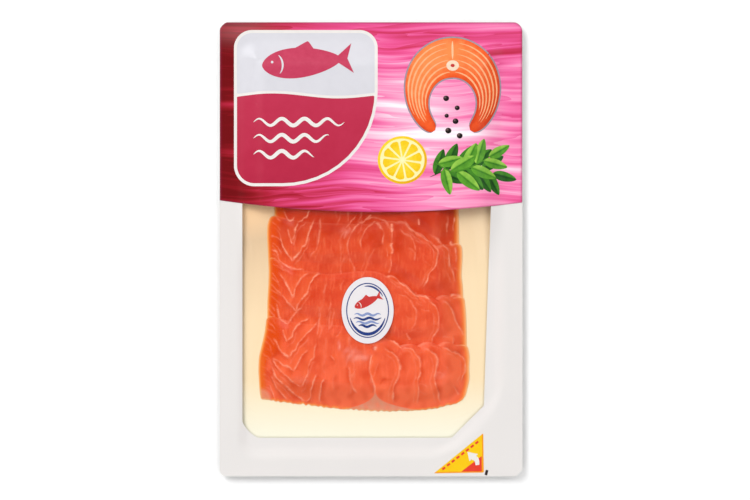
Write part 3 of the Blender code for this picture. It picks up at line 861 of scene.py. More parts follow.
@dataclass(frozen=True)
class StudioPaper(Finish):
    """Matte white background paper."""

    name: str = "matte_studio_paper"
    colour: str = "#FDFDFD"

    def shader(self, node: NodeMaker) -> Socket:
        """A plain matte white."""
        return node("BsdfPrincipled", Base_Color=self.colour, Roughness=0.9, Specular_IOR_Level=0.0)


class Ink(Enum):
    """The inks of the printed shapes, each with its finish."""

    WHITE = GravureInk("opaque_white_ink", "#DCD8D4", "#E6E2DE", "#ECE8E4")
    GREY = GravureInk("pale_grey_ink", "#CBCAD0", "#D4D3D9", "#DAD9DE", 8.0)
    CRIMSON = GravureInk("crimson_ink", "#A81C3C", "#B42644", "#BC304E", 9.0)
    ROSE = GravureInk("rose_ink", "#B02E4C", "#C03C5A", "#CC4E6A")
    SCARLET = GravureInk("scarlet_ink", "#D83020", "#E23E2C", "#EC5438")
    NAVY = GravureInk("navy_ink", "#1A2A62", "#243A7A", "#3A5494")
    MIST = GravureInk("mist_blue_ink", "#6A7CB0", "#8494C0", "#A8B4D4")
    BRICK = GravureInk("brick_red_ink", "#B82A28", "#C63836", "#D04A44")
    SUN = GravureInk("sun_yellow_ink", "#EEA810", "#F2C40C", "#F6D82C", 6.0)
    AMBER = GravureInk("amber_ink", "#E48A14", "#EE9A1E", "#F4AC2C")
    SALMON = GravureInk("salmon_orange_ink", "#CE3A14", "#EC5A24", "#F68A4A", 3.0)
    BLUSH = GravureInk("blush_orange_ink", "#F08C54", "#F6AA78", "#FACCA4")
    SKIN = GravureInk("silver_skin_ink", "#5E5864", "#8A8690", "#B4B2BC", 2.0)
    BONE = GravureInk("bone_cream_ink", "#D8A888", "#ECD0B4", "#F6E8D8", 2.0)
    PITH = GravureInk("pith_cream_ink", "#F0DC7C", "#F6EBA4", "#FAF4C8")
    LEMON = GravureInk("lemon_ink", "#E0A408", "#F0C81A", "#F8E048", 1.5)
    LEAF = GravureInk("leaf_green_ink", "#0E3210", "#245E18", "#4A8E28", 2.5)
    SPRING = GravureInk("spring_green_ink", "#2A6A1A", "#5C9E2C", "#9CCB50", 2.5)
    PEPPER = GravureInk("pepper_black_ink", "#140C0E", "#2C2022", "#7A6460", 0.8)


# The pack's form --------------------------------------------------------------------------------


@dataclass(frozen=True)
class PackForm:
    """The outlines of the pack and the height of its film, as its solids have them."""

    width: float = 160.0
    length: float = 240.0
    flange: float = 7.5
    wall: float = 0.5
    rim_top: float = 4.2
    rim_film: float = 4.3
    top_film: float = 8.65
    square: float = 0.71
    corner_steps: int = 6
    peel_chamfer: float = 3.3
    mouth_peel_cut: float = 30.5
    mouth_corner: float = 12.0
    mouth_peel_corner: float = 7.0
    crease_blend: float = 2.0
    film_ledge: float = 1.0
    film_sink: float = 1.7
    sink_width: float = 8.0
    bridge_width: float = 16.0
    bridge_end_y: float = 22.0
    bridge_fade: float = 35.0
    skirt: float = 7.0
    margin: float = 1.8
    salmon_upper: Pair = (-54.6, 48.0)
    salmon_lower: Pair = (-59.4, 52.0)
    salmon_top_y: float = 92.0
    lean_start_y: float = -5.0
    lean_length: float = 60.0

    def corners(self, side: float, cut: float) -> Points:
        """The corners of a rectangle that far inside the pack's, with its peel corner cut off."""
        x, y = self.width / 2 - side, self.length / 2 - side
        return ((x, -y + cut), (x, y), (-x, y), (-x, -y), (x - cut, -y))

    def outline(self, inset: float = 0.0) -> Array:
        """The pack's outer outline.

        Args:
            inset: How far it is moved in.

        Returns:
            Its points.
        """
        cuts = ((0.8, self.square), (4.5, 0.6), (4.0, 0.35), (3.4, 0.6), (0.8, self.square))
        corners = inset_corners(self.corners(0.0, self.peel_chamfer), inset)
        return cut_outline(corners, cuts, self.corner_steps)

    def mouth(self, inset: float) -> Array:
        """The outline of the tray's cavity where it meets the flange.

        Args:
            inset: How far it is moved in.

        Returns:
            Its points.
        """
        wide = (self.mouth_corner - inset, self.square)
        peel = (self.mouth_peel_corner - inset / 2, self.square)
        corners = inset_corners(self.corners(self.flange, self.mouth_peel_cut), inset)
        return cut_outline(corners, (peel, wide, wide, wide, peel), self.corner_steps)

    def inside(self, x: Array, y: Array) -> Array:
        """How far points lie inside the rounded mouth.

        Args:
            x, y: The points.

        Returns:
            The distances, negative outside.
        """
        corners = np.asarray(self.corners(self.flange, self.mouth_peel_cut))
        along = unit(np.roll(corners, -1, axis=0) - corners)
        x, y = np.asarray(x)[..., None], np.asarray(y)[..., None]
        distance = along[:, 0] * (y - corners[:, 1]) - along[:, 1] * (x - corners[:, 0])
        rounded = self.mouth_corner - np.linalg.norm(np.maximum(self.mouth_corner - distance, 0), axis=-1)
        nearest = np.partition(distance, 1, axis=-1)
        soft = -smooth_max(-nearest[..., 0], -nearest[..., 1], self.crease_blend)
        return rounded + np.maximum(soft - self.mouth_corner, 0)

    def salmon_sides(self, y: Array) -> tuple[Array, ...]:
        """The x of the slices' common left and right side, which lean out towards the lower end."""
        lean = smoothstep((self.lean_start_y - y) / self.lean_length)
        return tuple(a + (b - a) * lean for a, b in zip(self.salmon_upper, self.salmon_lower))

    def film(self, x: Array, y: Array) -> Array:
        """The height of the film's underside.

        Under the header it climbs taut from the rim. Below it the film sinks to the card and is
        draped over the salmon, down from a line a small margin outside all the slices. A smooth
        step blends the two along the pack.

        Args:
            x, y: Where to read it.

        Returns:
            The heights.
        """
        inside = np.maximum(self.inside(x, y) - self.film_ledge, 0)
        climb = self.top_film - self.rim_film
        bridge = self.rim_film + climb * smoothstep(inside / self.bridge_width)
        border = self.rim_film - self.film_sink * smoothstep(inside / self.sink_width)
        left, right = self.salmon_sides(y)
        across = np.maximum(np.maximum(left - x, x - right), 0)
        along = np.maximum(np.maximum(curve_y(SALMON_END, x) - y, y - self.salmon_top_y), 0)
        outside = np.maximum(np.hypot(across, along) - self.margin, 0)
        fall = climb + self.film_sink
        drape = self.top_film - fall * smoothstep(outside / self.skirt)
        sunk = np.where(inside > 0, smooth_max(border, drape, 0.3), self.rim_film)
        share = smoothstep((self.bridge_end_y - y) / self.bridge_fade)
        return bridge * (1 - share) + sunk * share


PACK = PackForm()


@dataclass
class FormedTray:
    """The tray: a flat flange round a shallow cavity with sloped walls and a flat floor."""

    fillet: float = 1.2
    fillet_steps: int = 8
    draft_degrees: float = 18.0
    edge_round: float = 0.12

    def profile(self, offset: float) -> list[Pair]:
        """The wall's section: two arcs of the fillet's radius and a straight run at the draft angle.

        Args:
            offset: How far it is moved down along its normal, to give the wall its thickness.

        Returns:
            Insets and heights, from the flange down to the floor.
        """
        swing = math.pi / 2 - math.radians(self.draft_degrees)
        angles = np.linspace(0, swing, self.fillet_steps + 1)
        upper, lower = self.fillet - offset, self.fillet + offset
        fall = PACK.rim_top - PACK.wall - 2 * self.fillet * (1 - math.cos(swing))
        run = 2 * self.fillet * math.sin(swing) + fall * math.tan(math.radians(self.draft_degrees))
        top, foot = PACK.rim_top - self.fillet, PACK.wall + self.fillet
        rim = [(upper * math.sin(a), top + upper * math.cos(a)) for a in angles]
        return rim + [(run - lower * math.sin(a), foot - lower * math.cos(a)) for a in angles[::-1]]

    def build(self) -> None:
        """The section carried round the mouth on both faces, joined over the flange's edge."""
        low, high, soft = PACK.rim_top - PACK.wall, PACK.rim_top, self.edge_round
        edge = ((soft, low), (0.0, low + soft), (0.0, high - soft), (soft, high))
        rings = [(PACK.mouth, *place) for place in self.profile(PACK.wall)[::-1]]
        rings += [(PACK.outline, *place) for place in edge]
        rings += [(PACK.mouth, *place) for place in self.profile(0.0)]
        parts = MeshParts().loft([np.insert(line(inset), 2, z, axis=1) for line, inset, z in rings])
        place_piece(parts, "formed_tray", FORMED_POLYPROPYLENE, "white_tray_plastic", "tray")


@dataclass
class GoldCard:
    """The gold card on the tray's floor, which keeps its solid."""

    def build(self) -> None:
        """Gives the card its laminate."""
        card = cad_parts["gold_card"]
        card.data.materials[0] = GoldLaminatedBoard().material()
        LOG.info("gold_card: laminate on the card's own solid")


# The salmon -------------------------------------------------------------------------------------

# A fat line that starts left of this x lies on the back, and any other in the belly.
BELLY_START_X = 5.0

# The lower end of the last slice.
SALMON_END: Points = (
    (-62, -78.8), (-50, -80.4), (-37, -82), (-21, -84), (-8, -85.1), (5, -85.7), (21, -85.6),
    (36, -83.8), (48, -80.6), (58, -76),
)


@dataclass(frozen=True)
class SliceLine:
    """Where one slice lies.

    Attributes:
        edge: Points of its upper edge.
        left, right: The x of its sides at shares of its length, from its lower end to its edge.
    """

    edge: Points
    left: Points
    right: Points


SLICE_LINES = (
    SliceLine(((-60, 88), (-30, 82), (0, 80), (20, 76), (34, 71), (52, 72)),
              ((0, -54), (1, -53.4)), ((0, 45.6), (1, 45))),
    SliceLine(((-60, 66), (-36, 59), (-5, 58), (16, 54), (30, 48), (52, 50)),
              ((0, -54), (1, -54.6)), ((0, 45.4), (1, 46.2))),
    SliceLine(((-60, 43), (-38, 36), (-8, 35), (14, 33), (30, 26), (52, 27)),
              ((0, -50.4), (1, -52)), ((0, 46.8), (1, 46.4))),
    SliceLine(((-60, 21), (-38, 14.5), (-4, 14), (15, 14), (26, 7), (35, 0.5), (44, 3), (52, 3.5)),
              ((0, -53.8), (0.45, -54.7), (0.7, -55), (0.83, -54.7), (0.9, -54), (1, -52.4)),
              ((0, 48.2), (0.5, 48.5), (0.62, 47.9), (0.7, 48.1), (0.85, 48.35), (1, 48))),
    SliceLine(((-60, 0), (-40, -9.9), (-27, -12), (7, -13.8), (18, -20), (27, -25.5), (36, -26),
               (52, -24.5)),
              ((0, -54.6), (0.5, -54.8), (0.7, -54.3), (1, -54.1)),
              ((0, 50.6), (0.4, 50.6), (0.75, 50.2), (1, 49.4))),
    SliceLine(((-64, -33), (-37, -38.5), (7, -46.5), (16, -51.5), (26, -50.8), (37, -50.6),
               (58, -50.4)),
              ((0, -58.6), (0.16, -59.2), (0.36, -59.6), (0.5, -59.2), (0.63, -57.9),
               (0.78, -56.4), (1, -55.1)),
              ((0, 49.7), (0.18, 50.9), (0.3, 51.8), (0.6, 52), (0.8, 52.1), (1, 51))),
)


@dataclass(frozen=True)
class FatLine:
    """A line of fat between two muscle segments.

    Attributes:
        points: A few points that the line passes through.
        strength: How pale it is, from 0 to 1.
        width: Its half width.
    """

    points: Points
    strength: float = 0.7
    width: float = 0.45


# The fat lines that show, from the upper slice down: the back's chevrons on the left, the loops in
# the middle and the bowed rims of the belly flakes on the right.
MARBLING = tuple(FatLine(*line) for line in (
    (((-46.5, 20.2), (-42.4, 15.3), (-40.5, 16.8)), 0.7),
    (((-43.9, 10.8), (-42.8, 6.5), (-41.3, 2.7)), 0.7),
    (((-41.3, 4.7), (-38.3, 13.9), (-33.9, 17.6), (-32, 21)), 0.9),
    (((-48.3, 6.8), (-45.3, -1), (-41.3, -5.9)), 0.9),
    (((-41.3, -5.9), (-37.6, -1.4), (-33.9, 4.5), (-32.4, 9.7), (-29.8, 16)), 0.9),
    (((-26.8, 16.8), (-27.5, 5.7), (-28.6, 1.2), (-32.4, -4)), 0.5),
    (((-11.3, -4), (-12.2, 2.2), (-10, 9.1), (-4.8, 14.4), (1.6, 16.5), (7.4, 14.9),
      (10.6, 9.6)), 0.5),
    (((-4.8, -0.4), (-5.3, 4.9), (-2.6, 10.2), (2.1, 14.4), (6.3, 9.1), (5.8, 2.2)), 0.5),
    (((-8.2, -12.3), (-11.3, -4.7)), 0.4),
    (((-8.2, 17.3), (-13.5, 11.2)), 0.5),
    (((0.5, 18.1), (-4.8, 14.4)), 0.5),
    (((11.3, 13.4), (10.9, 11.2), (11.2, 9.4)), 1.1, 0.75),
    (((11, 3.6), (10.6, 1.8), (11.1, -0.2), (10.8, -2.8)), 1.1, 0.6),
    (((11.1, 9.4), (10.8, 3.6)), 0.5, 0.4),
    (((10.8, -2.8), (10.4, -8.4), (9.6, -12.8)), 0.6, 0.4),
    (((15, 10.8), (17.6, 8.6), (22.4, 4.5), (23.5, 0.5), (22.8, -6.6)), 0.45),
    (((17.6, 14.9), (20.6, 10.8), (24.3, 8.3), (28.3, 5.7), (32.4, 3.1), (35, 0.1), (35.4, -3.6),
      (33.9, -8.8), (31.3, -12.2), (29.5, -16.2), (27.2, -21.1)), 0.7),
    (((32.8, 7.5), (36.9, 3.1), (40.6, -0.3), (41.3, -7.7), (43.2, -12.5), (44.7, -17.7)), 0.62),
    (((44.3, 1.2), (45, -2.9), (45, -7)), 0.55),
    (((41.7, 4.2), (43.2, 2.6), (44.7, 2.7)), 0.8, 0.8),
    (((24.8, 16), (25.4, 12.8)), 1, 0.6),
    (((40.7, 17.6), (40, 8.6)), 0.5),
    (((43.9, 17.6), (43.5, 9.4)), 0.6),
    (((-52.8, 0.1), (-50.5, -1), (-48.3, -5.9), (-42, -9.9), (-35.4, -11)), 0.7),
    (((-48.7, -12.5), (-43.9, -19.2), (-41.3, -25.9)), 0.8),
    (((-41.3, -25.3), (-37.6, -16.2), (-32.8, -12.5)), 0.85),
    (((-47.5, -24), (-43, -29), (-39.2, -33.1)), 0.6),
    (((-39.2, -33.1), (-38.3, -29.3), (-33.5, -22.2), (-31.3, -16.2), (-26.8, -12.2)), 0.85),
    (((7.2, -14.4), (11.7, -14.8), (15.4, -17.7), (18.7, -19.9), (25, -24.8), (29.1, -25.2),
      (32.1, -27.8)), 0.75),
    (((13.4, -23.3), (16.9, -24.4), (20.9, -27.2), (23.3, -31.6), (23.5, -38.2), (20.9, -43.5)), 0.42),
    (((30.2, -26.9), (34.5, -31.2), (35.7, -35.8), (35.3, -41.3), (33.3, -45.9), (31.4, -49.8)), 0.62),
    (((37.6, -27.2), (41.1, -29.2), (43.4, -33.9), (45, -38.9), (48.1, -43.2), (49.3, -45.5)), 0.58),
    (((19, -44), (20.6, -47.9)), 0.5),
    (((43.4, -45.2), (43.1, -50.2)), 0.5),
    (((41.7, -24.8), (44.7, -24), (47.6, -25.2)), 0.9, 0.8),
    (((-27, -30.6), (-27.1, -37.5), (-28.3, -44.8)), 0.5),
    (((-22, -32.7), (-22, -41.6)), 0.35),
    (((-50.2, -28.8), (-47.7, -36.9), (-43.9, -39.6)), 0.7),
    (((-43.9, -39.6), (-40.5, -34.5), (-37, -31)), 0.7),
    (((-46.6, -42.4), (-44.6, -48.7)), 0.8),
    (((-44.6, -48.7), (-41.9, -46.3), (-39.5, -40.5), (-32.6, -36.2)), 0.85),
    (((-51.2, -46.7), (-48.5, -52.2), (-43.4, -57.6)), 0.85),
    (((-43.4, -57.6), (-38, -49.4), (-32.6, -43.2), (-27.9, -38.1)), 0.85),
    (((-52, -57.6), (-45.8, -61.1), (-40, -64.2)), 0.8),
    (((-40.3, -63.9), (-36.8, -56.8), (-33.3, -53)), 0.8),
    (((-52, -58), (-47.7, -64.2), (-42.6, -68.9), (-37.2, -72.8)), 0.8),
    (((-37.2, -72.8), (-34.1, -68.1), (-33.3, -63.4), (-30.2, -55.7), (-29.1, -50.2)), 0.7),
    (((-52.4, -61.9), (-50.8, -66.5), (-45.8, -71.2), (-41.1, -76.3), (-34.5, -80.9)), 0.85),
    (((-34.5, -80.9), (-32.6, -79), (-31.4, -72.8), (-28.6, -65.8)), 0.8),
    (((-52.7, -66.9), (-49.6, -73.5), (-44.2, -79.4)), 0.75),
    (((-53.9, -71.6), (-50.4, -79.8)), 0.7),
    (((-27.1, -80.9), (-27.1, -75.5), (-24.8, -67.7)), 0.7),
    (((-11.6, -61.9), (-9.6, -72.8), (-7.3, -75.9)), 0.5),
    (((-21.3, -55.7), (-19.3, -58.4)), 0.5),
    (((-15.9, -43.6), (-18.6, -46.3)), 0.5),
    (((9.7, -47.5), (13.2, -49.8), (15.9, -52.2)), 0.8),
    (((15.9, -52.5), (18.6, -52.2), (22.1, -53), (24.4, -55.7), (25.9, -59.9), (25.6, -65.8),
      (24.8, -71.6), (25.2, -75.1), (24.4, -81.7)), 0.66),
    (((6.6, -52.2), (9.7, -53.7), (13.2, -56.8), (15.5, -61.1), (14, -68.1), (12, -72.8),
      (11.6, -77.4), (12, -81.3)), 0.7),
    (((28.5, -52.6), (32.4, -54.3), (34.4, -57.2), (35.1, -60.2), (34.3, -64.2), (33.6, -67.5),
      (34.2, -71.5), (35.7, -77), (36.7, -81.2)), 0.72, 0.6),
    (((37.3, -51.7), (41.5, -53.3), (47, -56), (49.7, -59.1), (49.7, -63.9), (47.7, -69.7)), 0.66),
    (((43.4, -72.4), (47, -77.1)), 0.4),
    (((2.6, -51.4), (1.9, -53.5)), 1, 0.8),
    (((0.7, -54.9), (-0.5, -59.9), (-0.5, -65), (1.1, -69.7), (1.9, -77.1)), 0.9, 0.5),
))

# The short folds where the film presses the slices together: shallow dips in the face, with
# painted shade along them.
FURROWS = tuple(FatLine(*line) for line in (
    (((-37.2, -6.6), (-36.3, -2.4), (-35.2, 0.6), (-33.9, -2.6), (-32.6, -5.6)), 0.75, 0.5),
    (((-50.2, -11.4), (-44.6, -10.2), (-38, -12.6)), 0.55, 0.7),
    (((4.4, -71.4), (7, -68.6), (11, -68.9)), 0.5, 0.6),
    (((10.2, -5), (10.2, -12.6)), 0.6, 0.6),
    (((13.6, 1.4), (14.2, -8.4)), 0.35, 1.4),
    (((-43.4, -34.6), (-39, -33), (-34.5, -36.8)), 0.5, 0.6),
))

# Patches of denser, darker red muscle: centre x and y, reach across and along, and strength.
DENSE_SPOTS = (
    (-48.5, 18.5, 3.5, 3, 0.6), (-21, 10.5, 5, 3.5, 0.6), (-5, 16.5, 5, 2.5, 0.5),
    (4, 1.5, 3.5, 5, 0.7), (15, 2.5, 5, 5, 0.6), (26, 15.5, 4.5, 3, 0.5),
    (34, -20, 5, 3.5, 0.4), (16.5, -13.5, 7, 3, 0.4), (-31, -13.5, 3, 1.6, 0.5),
    (-50.6, -51, 2.6, 5.5, 1), (-23, -10, 8, 3, 0.3), (7.5, -69, 5, 2, 0.35),
    (-48.6, 3, 2.6, 5, 0.5), (-40, 8, 2, 3, 0.4), (22, -45, 5, 3, 0.3),
    (-51.2, -36.5, 2.2, 7, 0.8), (-51, -24, 1.8, 4.5, 0.6), (-44, -36, 3, 2.4, 0.5),
    (-55.6, -60, 1.6, 9, 0.35),
)

# Painted glare of the film where it clings to the flesh: centre x and y, reach across and
# along, and strength.
FILM_GLARE_SPOTS = (
    (-8, -56.6, 5, 2.6, 0.3), (-11.5, -53.2, 3.6, 1.8, 0.16), (-3.4, -57.4, 1.8, 1.4, 0.22),
    (-16.8, -50.6, 0.7, 1.8, 0.5), (2, -51.5, 1, 1.4, 0.35), (-13, 9, 3, 2.2, 0.16),
    (36.5, -66.5, 3.6, 2, 0.14), (9, -33, 2.4, 3.6, 0.12), (-37, -69, 4, 2, 0.1),
)


def echoes() -> tuple[FatLine, ...]:
    """A fainter line beside each longer line: below the chevrons, and left of the belly's rims.

    Returns:
        The fainter lines.
    """
    made = []
    for line in MARBLING:
        points = np.asarray(line.points)
        if len(points) < 4 or line.strength < 0.6:
            continue
        on_back = points[0, 0] < BELLY_START_X
        shift, trimmed = ((0.3, -3.1), points[:-1]) if on_back else ((-2.3, -1.0), points[1:])
        made.append(FatLine(tuple(map(tuple, trimmed + shift)), 0.34 * line.strength, 0.42))
    return tuple(made)


def side_strokes() -> tuple[FatLine, ...]:
    """The short fat lines that run down and inwards beside the slices' darker left strip.

    Returns:
        The lines, one about every 3.3 mm down the strip.
    """
    draw = np.random.default_rng(3)
    strokes = []
    for y in np.arange(21.0, -80.0, -3.3):
        left = float(PACK.salmon_sides(np.array(y))[0]) + draw.uniform(1.6, 3.2)
        reach, drop, start = draw.uniform(3.0, 6.5), draw.uniform(3.0, 6.5), y + draw.uniform(-0.9, 0.9)
        points = ((left, start), (left + 0.55 * reach, start - 0.4 * drop), (left + reach, start - drop))
        strokes.append(FatLine(points, draw.uniform(0.2, 0.5) * (0.45 if y < -50.0 else 1.0), 0.4))
    return tuple(strokes)


def middle_strokes() -> tuple[FatLine, ...]:
    """The faint fat lines of the plain middle, then those of the belly, from one seeded draw.

    Returns:
        The middle's lines, which run nearly lengthwise, and the belly's, which run across.
    """
    draw = np.random.default_rng(19)
    strokes = []
    for y in np.arange(16.0, -78.0, -2.1):
        x, reach = draw.uniform(-31.0, 0.0), draw.uniform(5.0, 13.0)
        lean, bend = draw.uniform(-0.05, 0.42), draw.uniform(-1.2, 1.2)
        points = ((x, y), (x + lean * reach / 2 + bend, y + reach / 2), (x + lean * reach, y + reach))
        strokes.append(FatLine(points, draw.uniform(0.1, 0.34), draw.uniform(0.3, 0.6)))
    for y in np.arange(8.0, -76.0, -3.6):
        x, reach = draw.uniform(14.0, 42.0), draw.uniform(3.0, 7.0)
        middle_drop, end_drop = draw.uniform(0.0, 1.6), draw.uniform(1.0, 3.4)
        points = ((x, y), (x + 0.5 * reach, y - middle_drop), (x + reach, y - end_drop))
        strokes.append(FatLine(points, draw.uniform(0.12, 0.3), draw.uniform(0.3, 0.5)))
    return tuple(strokes)


@dataclass
class Marbling:
    """How the flesh changes beside its fat lines, at each point of a slice.

    Attributes:
        fat: 0 in muscle up to 1 in the middle of a strong line.
        deep: Painted shade that starts just past a line, in the shadow of the flake's edge.
        glow: Painted light that leads up to a line, as if each flake were lit towards its rim.
        furrow: Painted shade along the folds.
    """

    fat: Array
    deep: Array
    glow: Array
    furrow: Array

    @classmethod
    def none(cls, x: Array) -> Marbling:
        """Plain muscle for a slice that the label hides."""
        return cls(*(np.zeros_like(x) for _ in range(4)))

    @classmethod
    def of(cls, x: Array, y: Array) -> Marbling:
        """Reads all lines: strength times exp(-(d / width)^2) on the line, exp(-d / reach) beside it.

        Painted shade lies outside the back's chevrons and past the rims of the belly's flakes, on
        the right of a line that starts in the back and on the left of one in the belly. Painted
        light lies on the line's other side.

        Args:
            x, y: Where to read the lines.

        Returns:
            The four strengths.
        """
        found = cls.none(x)
        x = x + 0.35 * ripple(x, y, 5.0, 11) + 0.12 * ripple(x, y, 1.6, 13)
        y = y + 0.35 * ripple(x, y, 5.0, 12) + 0.12 * ripple(x, y, 1.6, 14)
        uneven = 0.64 + 0.36 * ripple(x, y, 4.5, 15) + 0.2 * ripple(x, y, 1.8, 17)
        spread = 0.9 + 0.25 * ripple(x, y, 6.0, 16)
        for line in MARBLING + echoes() + side_strokes() + middle_strokes():
            near, away, left_hand, level = cls.beside(line, x, y, 9.0)
            if not near.any():
                continue
            past = left_hand == (line.points[0][0] > BELLY_START_X)
            width = line.width * spread[near]
            for field_, value in (
                (found.fat, level * uneven[near] * bell(away, width)),
                # Painted shade past the line, and painted light before it.
                (found.deep, level * np.exp(-away / 2.2) * past),
                (found.glow, level * np.exp(-away / 3.4) * ~past),
            ):
                field_[near] = np.maximum(field_[near], value)
        for line in FURROWS:
            near, away, _, level = cls.beside(line, x, y, 4.0)
            found.furrow[near] = np.maximum(found.furrow[near], level * bell(away, line.width))
        return found

    @staticmethod
    def beside(line: FatLine, x: Array, y: Array, margin: float) -> tuple[Array, Array, Array, Array]:
        """How points lie beside one line.

        Args:
            line: The line.
            x, y: The points.
            margin: How far past the line's box points are looked at.

        Returns:
            Which points are near, then for those the distance, whether they lie on the left of
            the line's heading, and the line's strength there, which fades at its ends.
        """
        path = smooth_path(line.points, 0.4)
        heading = np.gradient(path, axis=0)
        low, high = path.min(axis=0) - margin, path.max(axis=0) + margin
        near = (x > low[0]) & (x < high[0]) & (y > low[1]) & (y < high[1])
        if not near.any():
            return near, np.zeros(0), np.zeros(0, bool), np.zeros(0)
        off_x, off_y = x[near][:, None] - path[:, 0], y[near][:, None] - path[:, 1]
        square = off_x**2 + off_y**2
        closest = square.argmin(axis=1)
        picked = np.arange(len(closest)), closest
        turn = heading[closest, 0] * off_y[picked] - heading[closest, 1] * off_x[picked]
        share = closest / (len(path) - 1)
        fade = smoothstep(share / 0.12 + 0.2) * smoothstep((1 - share) / 0.12 + 0.2)
        return near, np.sqrt(square[picked]), turn > 0, line.strength * fade


@dataclass
class SalmonSlice:
    """One slice. Both faces are heights over one grid of shares across it and along it."""

    index: int
    base: float = 1.9
    thickness: float = 6.0
    overlap: float = 17.5
    edge_thickness: float = 1.0
    gap: float = 0.3
    hollow: Pair = (3.5, 10.5)
    side_round: float = 1.4
    side_foot: float = 0.3
    shoulder: float = 15.0
    shoulder_foot: float = 0.05
    flake_rims: tuple[float, ...] = (0.655, 0.755, 0.862, 0.95)
    flake_step: float = 0.01
    flake_rise: float = 0.4
    flake_bow: float = 1.8
    edge_wave: float = 0.7
    top_corner: float = 3.0
    end_corner: float = 4.5
    belly_bow: float = 5.0
    feather: float = 5.0
    feather_foot: float = 0.12
    seen_from: int = 2
    fine_step: float = 0.37
    coarse_step: float = 2.0

    def __post_init__(self) -> None:
        """Works out the slice's line, whether it ends the row, and its length."""
        self.line = SLICE_LINES[self.index]
        self.is_first = self.index == 0
        self.is_last = self.index == len(SLICE_LINES) - 1
        middle = np.zeros(1)
        self.length = float((self.edge_y(middle) - self.low_y(middle))[0] + self.scallop(middle)[0])
        self.width = self.line.right[-1][1] - self.line.left[-1][1]

    def edge_y(self, x: Array) -> Array:
        """The mean upper edge of this slice."""
        return curve_y(self.line.edge, x)

    def next_y(self, x: Array) -> Array:
        """The mean upper edge of the slice that lies on this one."""
        return curve_y(SLICE_LINES[self.index + 1].edge, x)

    def low_y(self, x: Array) -> Array:
        """The lower end, which lies under the next slice except on the last.

        Args:
            x: Where to read it.

        Returns:
            Its y.
        """
        if self.is_last:
            return curve_y(SALMON_END, x)
        climb = 0.5 / (self.thickness - self.edge_thickness)
        return self.next_y(x) + self.overlap * (climb - 1) + self.gap

    def scallop(self, u: Array) -> Array:
        """How far the upper edge stands past its mean.

        Args:
            u: Shares across the slice.

        Returns:
            A bow from rim to rim of each flake, and low waves left of the flakes.
        """
        share = np.zeros_like(u)
        for left, right in zip(self.flake_rims[:-1], self.flake_rims[1:]):
            inside = (u > left) & (u <= right)
            rise = (u - left - self.flake_step) / (right - left - self.flake_step)
            share = np.where(inside, np.clip(rise, 0, 1), share)
        bows = self.flake_bow * np.sin(math.pi * share) ** 0.85
        waves = self.edge_wave * np.sin(9 * u + 2.1 * self.index)
        return bows + waves * smoothstep(u / 0.1) * smoothstep((self.flake_rims[0] - u) / 0.1)

    @staticmethod
    def corner_pull(distance: Array, radius: float) -> Array:
        """How far a round corner of a radius draws a side in at a distance from the corner."""
        return radius - np.sqrt(radius**2 - np.clip(radius - distance, 0, radius) ** 2)

    def across(self, u: Array, v: Array) -> Array:
        """Where points lie across the pack.

        Args:
            u, v: Their shares across the slice, and along it from its lower end.

        Returns:
            Their x.
        """
        top_corner = self.corner_pull((1 - v) * self.length, self.top_corner)
        left = curve_y(self.line.left, v) + top_corner
        right = curve_y(self.line.right, v) - top_corner
        if self.is_last:
            end_corner = self.corner_pull(v * self.length, self.end_corner)
            left, right = left + end_corner / 8, right - end_corner
        seen = 1.0 if self.is_last else 1 - self.overlap / self.length
        bow = np.clip(1 - ((1 - v) / seen * 2 - 1) ** 2, 0, 1)
        weight = smoothstep((u - 0.5) / 0.28) * smoothstep((1 - u) / 0.22)
        return left + u * (right - left) + self.belly_bow * weight * bow

    def crease(self) -> float:
        """The share of the slice that lies under the next one."""
        middle = np.zeros(1)
        return 0.0 if self.is_last else float((self.next_y(middle) - self.low_y(middle))[0] / self.length)

    def grid(self) -> tuple[Array, Array]:
        """The slice's grid, closer at the sides and where the slice shows.

        Returns:
            Its shares across and along.
        """
        step = self.fine_step if self.index >= self.seen_from else self.coarse_step
        near_side = np.array([0, 0.15, 0.35, 0.6, 0.9, 1.3]) / self.width
        middle = np.linspace(near_side[-1], 1 - near_side[-1], round(self.width / step))
        u = np.concatenate([near_side[:-1], middle, 1 - near_side[-2::-1]])
        crease = self.crease()
        hidden = np.linspace(0, crease, max(round(crease * self.length / 1.2), 1) + 1)[:-1]
        seen = np.linspace(crease, 1, round((1 - crease) * self.length / step) + 1)
        rounding = 1 - np.array([0.9, 0.6, 0.35, 0.15]) / self.length
        v = np.unique(np.concatenate([hidden, seen, rounding]))
        return np.meshgrid(u, v)

    def place(self, u: Array, v: Array) -> tuple[Array, Array]:
        """Where points lie: in even rows up to the next slice's edge, and on to the upper edge.

        Args:
            u, v: Their shares across and along.

        Returns:
            Their x and y.
        """
        x = self.across(u, v)
        low, high = self.low_y(x), self.edge_y(x) + self.scallop(u)
        if self.is_last:
            frayed = 0.35 * ripple(x, x * 0, 4.0, 5) + 0.2 * ripple(x, x * 0, 1.5, 6)
            return x, low + v * (high - low) + frayed * smoothstep(1 - v * 6)
        crease, middle = self.crease(), self.next_y(x)
        below = low + v / crease * (middle - low)
        above = middle + (v - crease) / (1 - crease) * (high - middle)
        return x, np.where(v < crease, below, above)

    def shoulder_share(self, x: Array, y: Array) -> Array:
        """How far points lie over the rounded shoulder of all the slices.

        Args:
            x, y: The points.

        Returns:
            0 at its foot up to 1 on the flat.
        """
        left, right = PACK.salmon_sides(y)
        across = np.clip(self.shoulder - np.minimum(x - left, right - x), 0, None)
        along = np.clip(self.shoulder - (y - curve_y(SALMON_END, x)), 0, None)
        return np.clip(1 - np.hypot(across, along) / self.shoulder, 0, 1)

